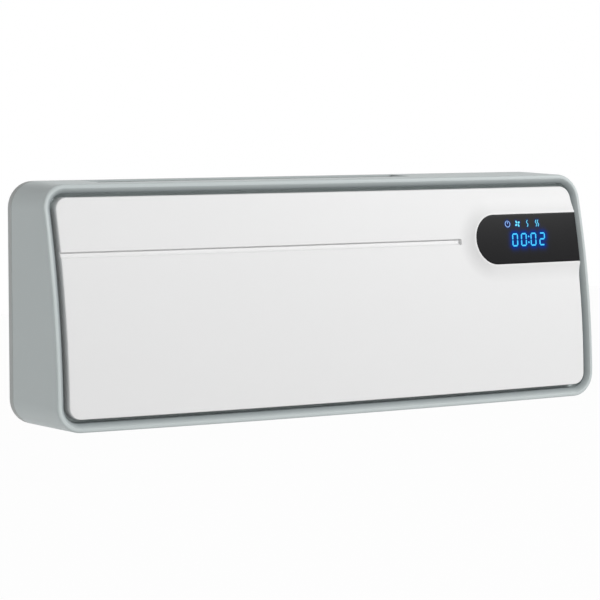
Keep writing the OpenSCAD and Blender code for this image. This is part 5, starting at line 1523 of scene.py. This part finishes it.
class HEATER_OT_studio(HeaterPiece, bpy.types.Operator):
    """Makes the floor, the lights and the camera"""
    bl_idname = "heater.studio"
    bl_label = "Studio"

    def execute(self, context):
        s, scene = context.scene.heater_studio, context.scene
        scene.view_settings.view_transform = "Standard"
        self.floor(s.floor_z)
        scene.world = bpy.data.worlds.new("Studio")
        scene.world.use_nodes = True
        tree = scene.world.node_tree
        back = tree.nodes["Background"].inputs
        back["Color"].default_value = (1, 1, 1, 1)
        plug(back["Strength"], seen_directly(tree) * (1.0 - s.sky) + s.sky)
        for name, watts, size, at in (("key", s.key, 2.5, (5.8, -5.4, 4.3)),
                                      ("fill", s.fill, 1.6, (-1.65, -2.64, 1.0)),
                                      ("side", s.side, 2.0, (-3.0, 0.1, 0.3)),
                                      ("top", s.top, 2.0, (0.2, -0.4, 3.0))):
            lamp = bpy.data.lights.new(name, "AREA")
            lamp.energy, lamp.size, lamp.shape = watts, size, "DISK"
            obj = put(name, lamp)
            obj.location = at
            obj.rotation_mode = "QUATERNION"
            obj.rotation_quaternion = (-Vector(at)).to_track_quat("-Z", "Y")
        self.camera(scene)
        return {"FINISHED"}

    @staticmethod
    def floor(z, r=6.0):
        """White floor that shows only the shadows on it, and nothing from beneath."""
        mesh = bpy.data.meshes.new("floor")
        mesh.from_pydata([(-r, -r, z), (r, -r, z), (r, r, z), (-r, r, z)], [], [(0, 1, 2, 3)])
        tree, filled = new_material("floor_white")
        mesh.materials.append(filled(Base_Color=(0.9, 0.9, 0.9, 1.0), Roughness=0.9))
        white = Value(tree.nodes["Principled BSDF"].outputs[0])
        glow = add(tree, "ShaderNodeEmission", Color=(1, 1, 1, 1), Strength=1.0)
        top = add(tree, "ShaderNodeMixShader", _0=seen_directly(tree) * 0.97, _1=white, _2=glow)
        beneath = add(tree, "ShaderNodeNewGeometry")["Backfacing"]
        both = add(tree, "ShaderNodeMixShader", _0=beneath, _1=top,
                   _2=add(tree, "ShaderNodeBsdfTransparent"))
        plug(tree.nodes["Material Output"].inputs[0], both)
        put("floor", mesh)

    @staticmethod
    def camera(scene):
        """Camera fitted to the outline, by yaw, pitch, roll and place."""
        camera = bpy.data.cameras.new("camera")
        camera.lens, camera.sensor_width = 154.7625, 36.0
        yaw, pitch, roll = (math.radians(a) for a in (31.565, 4.398, -0.059))
        forward = Vector((math.sin(yaw) * math.cos(pitch), math.cos(yaw) * math.cos(pitch),
                          -math.sin(pitch)))
        right = Vector((math.cos(yaw), -math.sin(yaw), 0))
        up = right.cross(forward)
        across = right * math.cos(roll) + up * math.sin(roll)
        up = up * math.cos(roll) - right * math.sin(roll)
        turn = Matrix((across, up, -forward)).transposed().to_4x4()
        scene.camera = put("camera", camera)
        scene.camera.matrix_world = Matrix.Translation((-1.085289, -1.782978, 0.153002)) @ turn


class HEATER_PT_panel(bpy.types.Panel):
    """Lists the heater's settings and pieces"""
    bl_idname = "HEATER_PT_panel"
    bl_label = "Wall Fan Heater"
    bl_space_type = "VIEW_3D"
    bl_region_type = "UI"
    bl_category = "Heater"

    def draw(self, context):
        for group in GROUPS:
            box = self.layout.box()
            settings = getattr(context.scene, group)
            for key in settings.bl_rna.properties.keys():
                if key not in ("rna_type", "name"):
                    box.prop(settings, key)
        for operator in OPERATORS:
            self.layout.operator(operator.bl_idname)


GROUPS = {"heater_body": HeaterBodySettings, "heater_panel": HeaterPanelSettings,
          "heater_repeats": HeaterRepeatSettings, "heater_colours": HeaterColourSettings,
          "heater_studio": HeaterStudioSettings}
OPERATORS = [HEATER_OT_studio, HEATER_OT_casing, HEATER_OT_rear, HEATER_OT_panel, HEATER_OT_display,
             HEATER_OT_screws, HEATER_OT_filter, HEATER_OT_fan, HEATER_OT_outlet, HEATER_OT_switch,
             HEATER_OT_ducts, HEATER_OT_motors, HEATER_OT_electronics]


def register():
    for cls in [*GROUPS.values(), *OPERATORS, HEATER_PT_panel]:
        bpy.utils.register_class(cls)
    for key, cls in GROUPS.items():
        setattr(bpy.types.Scene, key, PointerProperty(type=cls))


def unregister():
    for key in GROUPS:
        delattr(bpy.types.Scene, key)
    for cls in reversed([*GROUPS.values(), *OPERATORS, HEATER_PT_panel]):
        bpy.utils.unregister_class(cls)


def main():
    register()
    for operator in OPERATORS:
        family, name = operator.bl_idname.split(".")
        getattr(getattr(bpy.ops, family), name)()


if __name__ == "__main__":
    main()
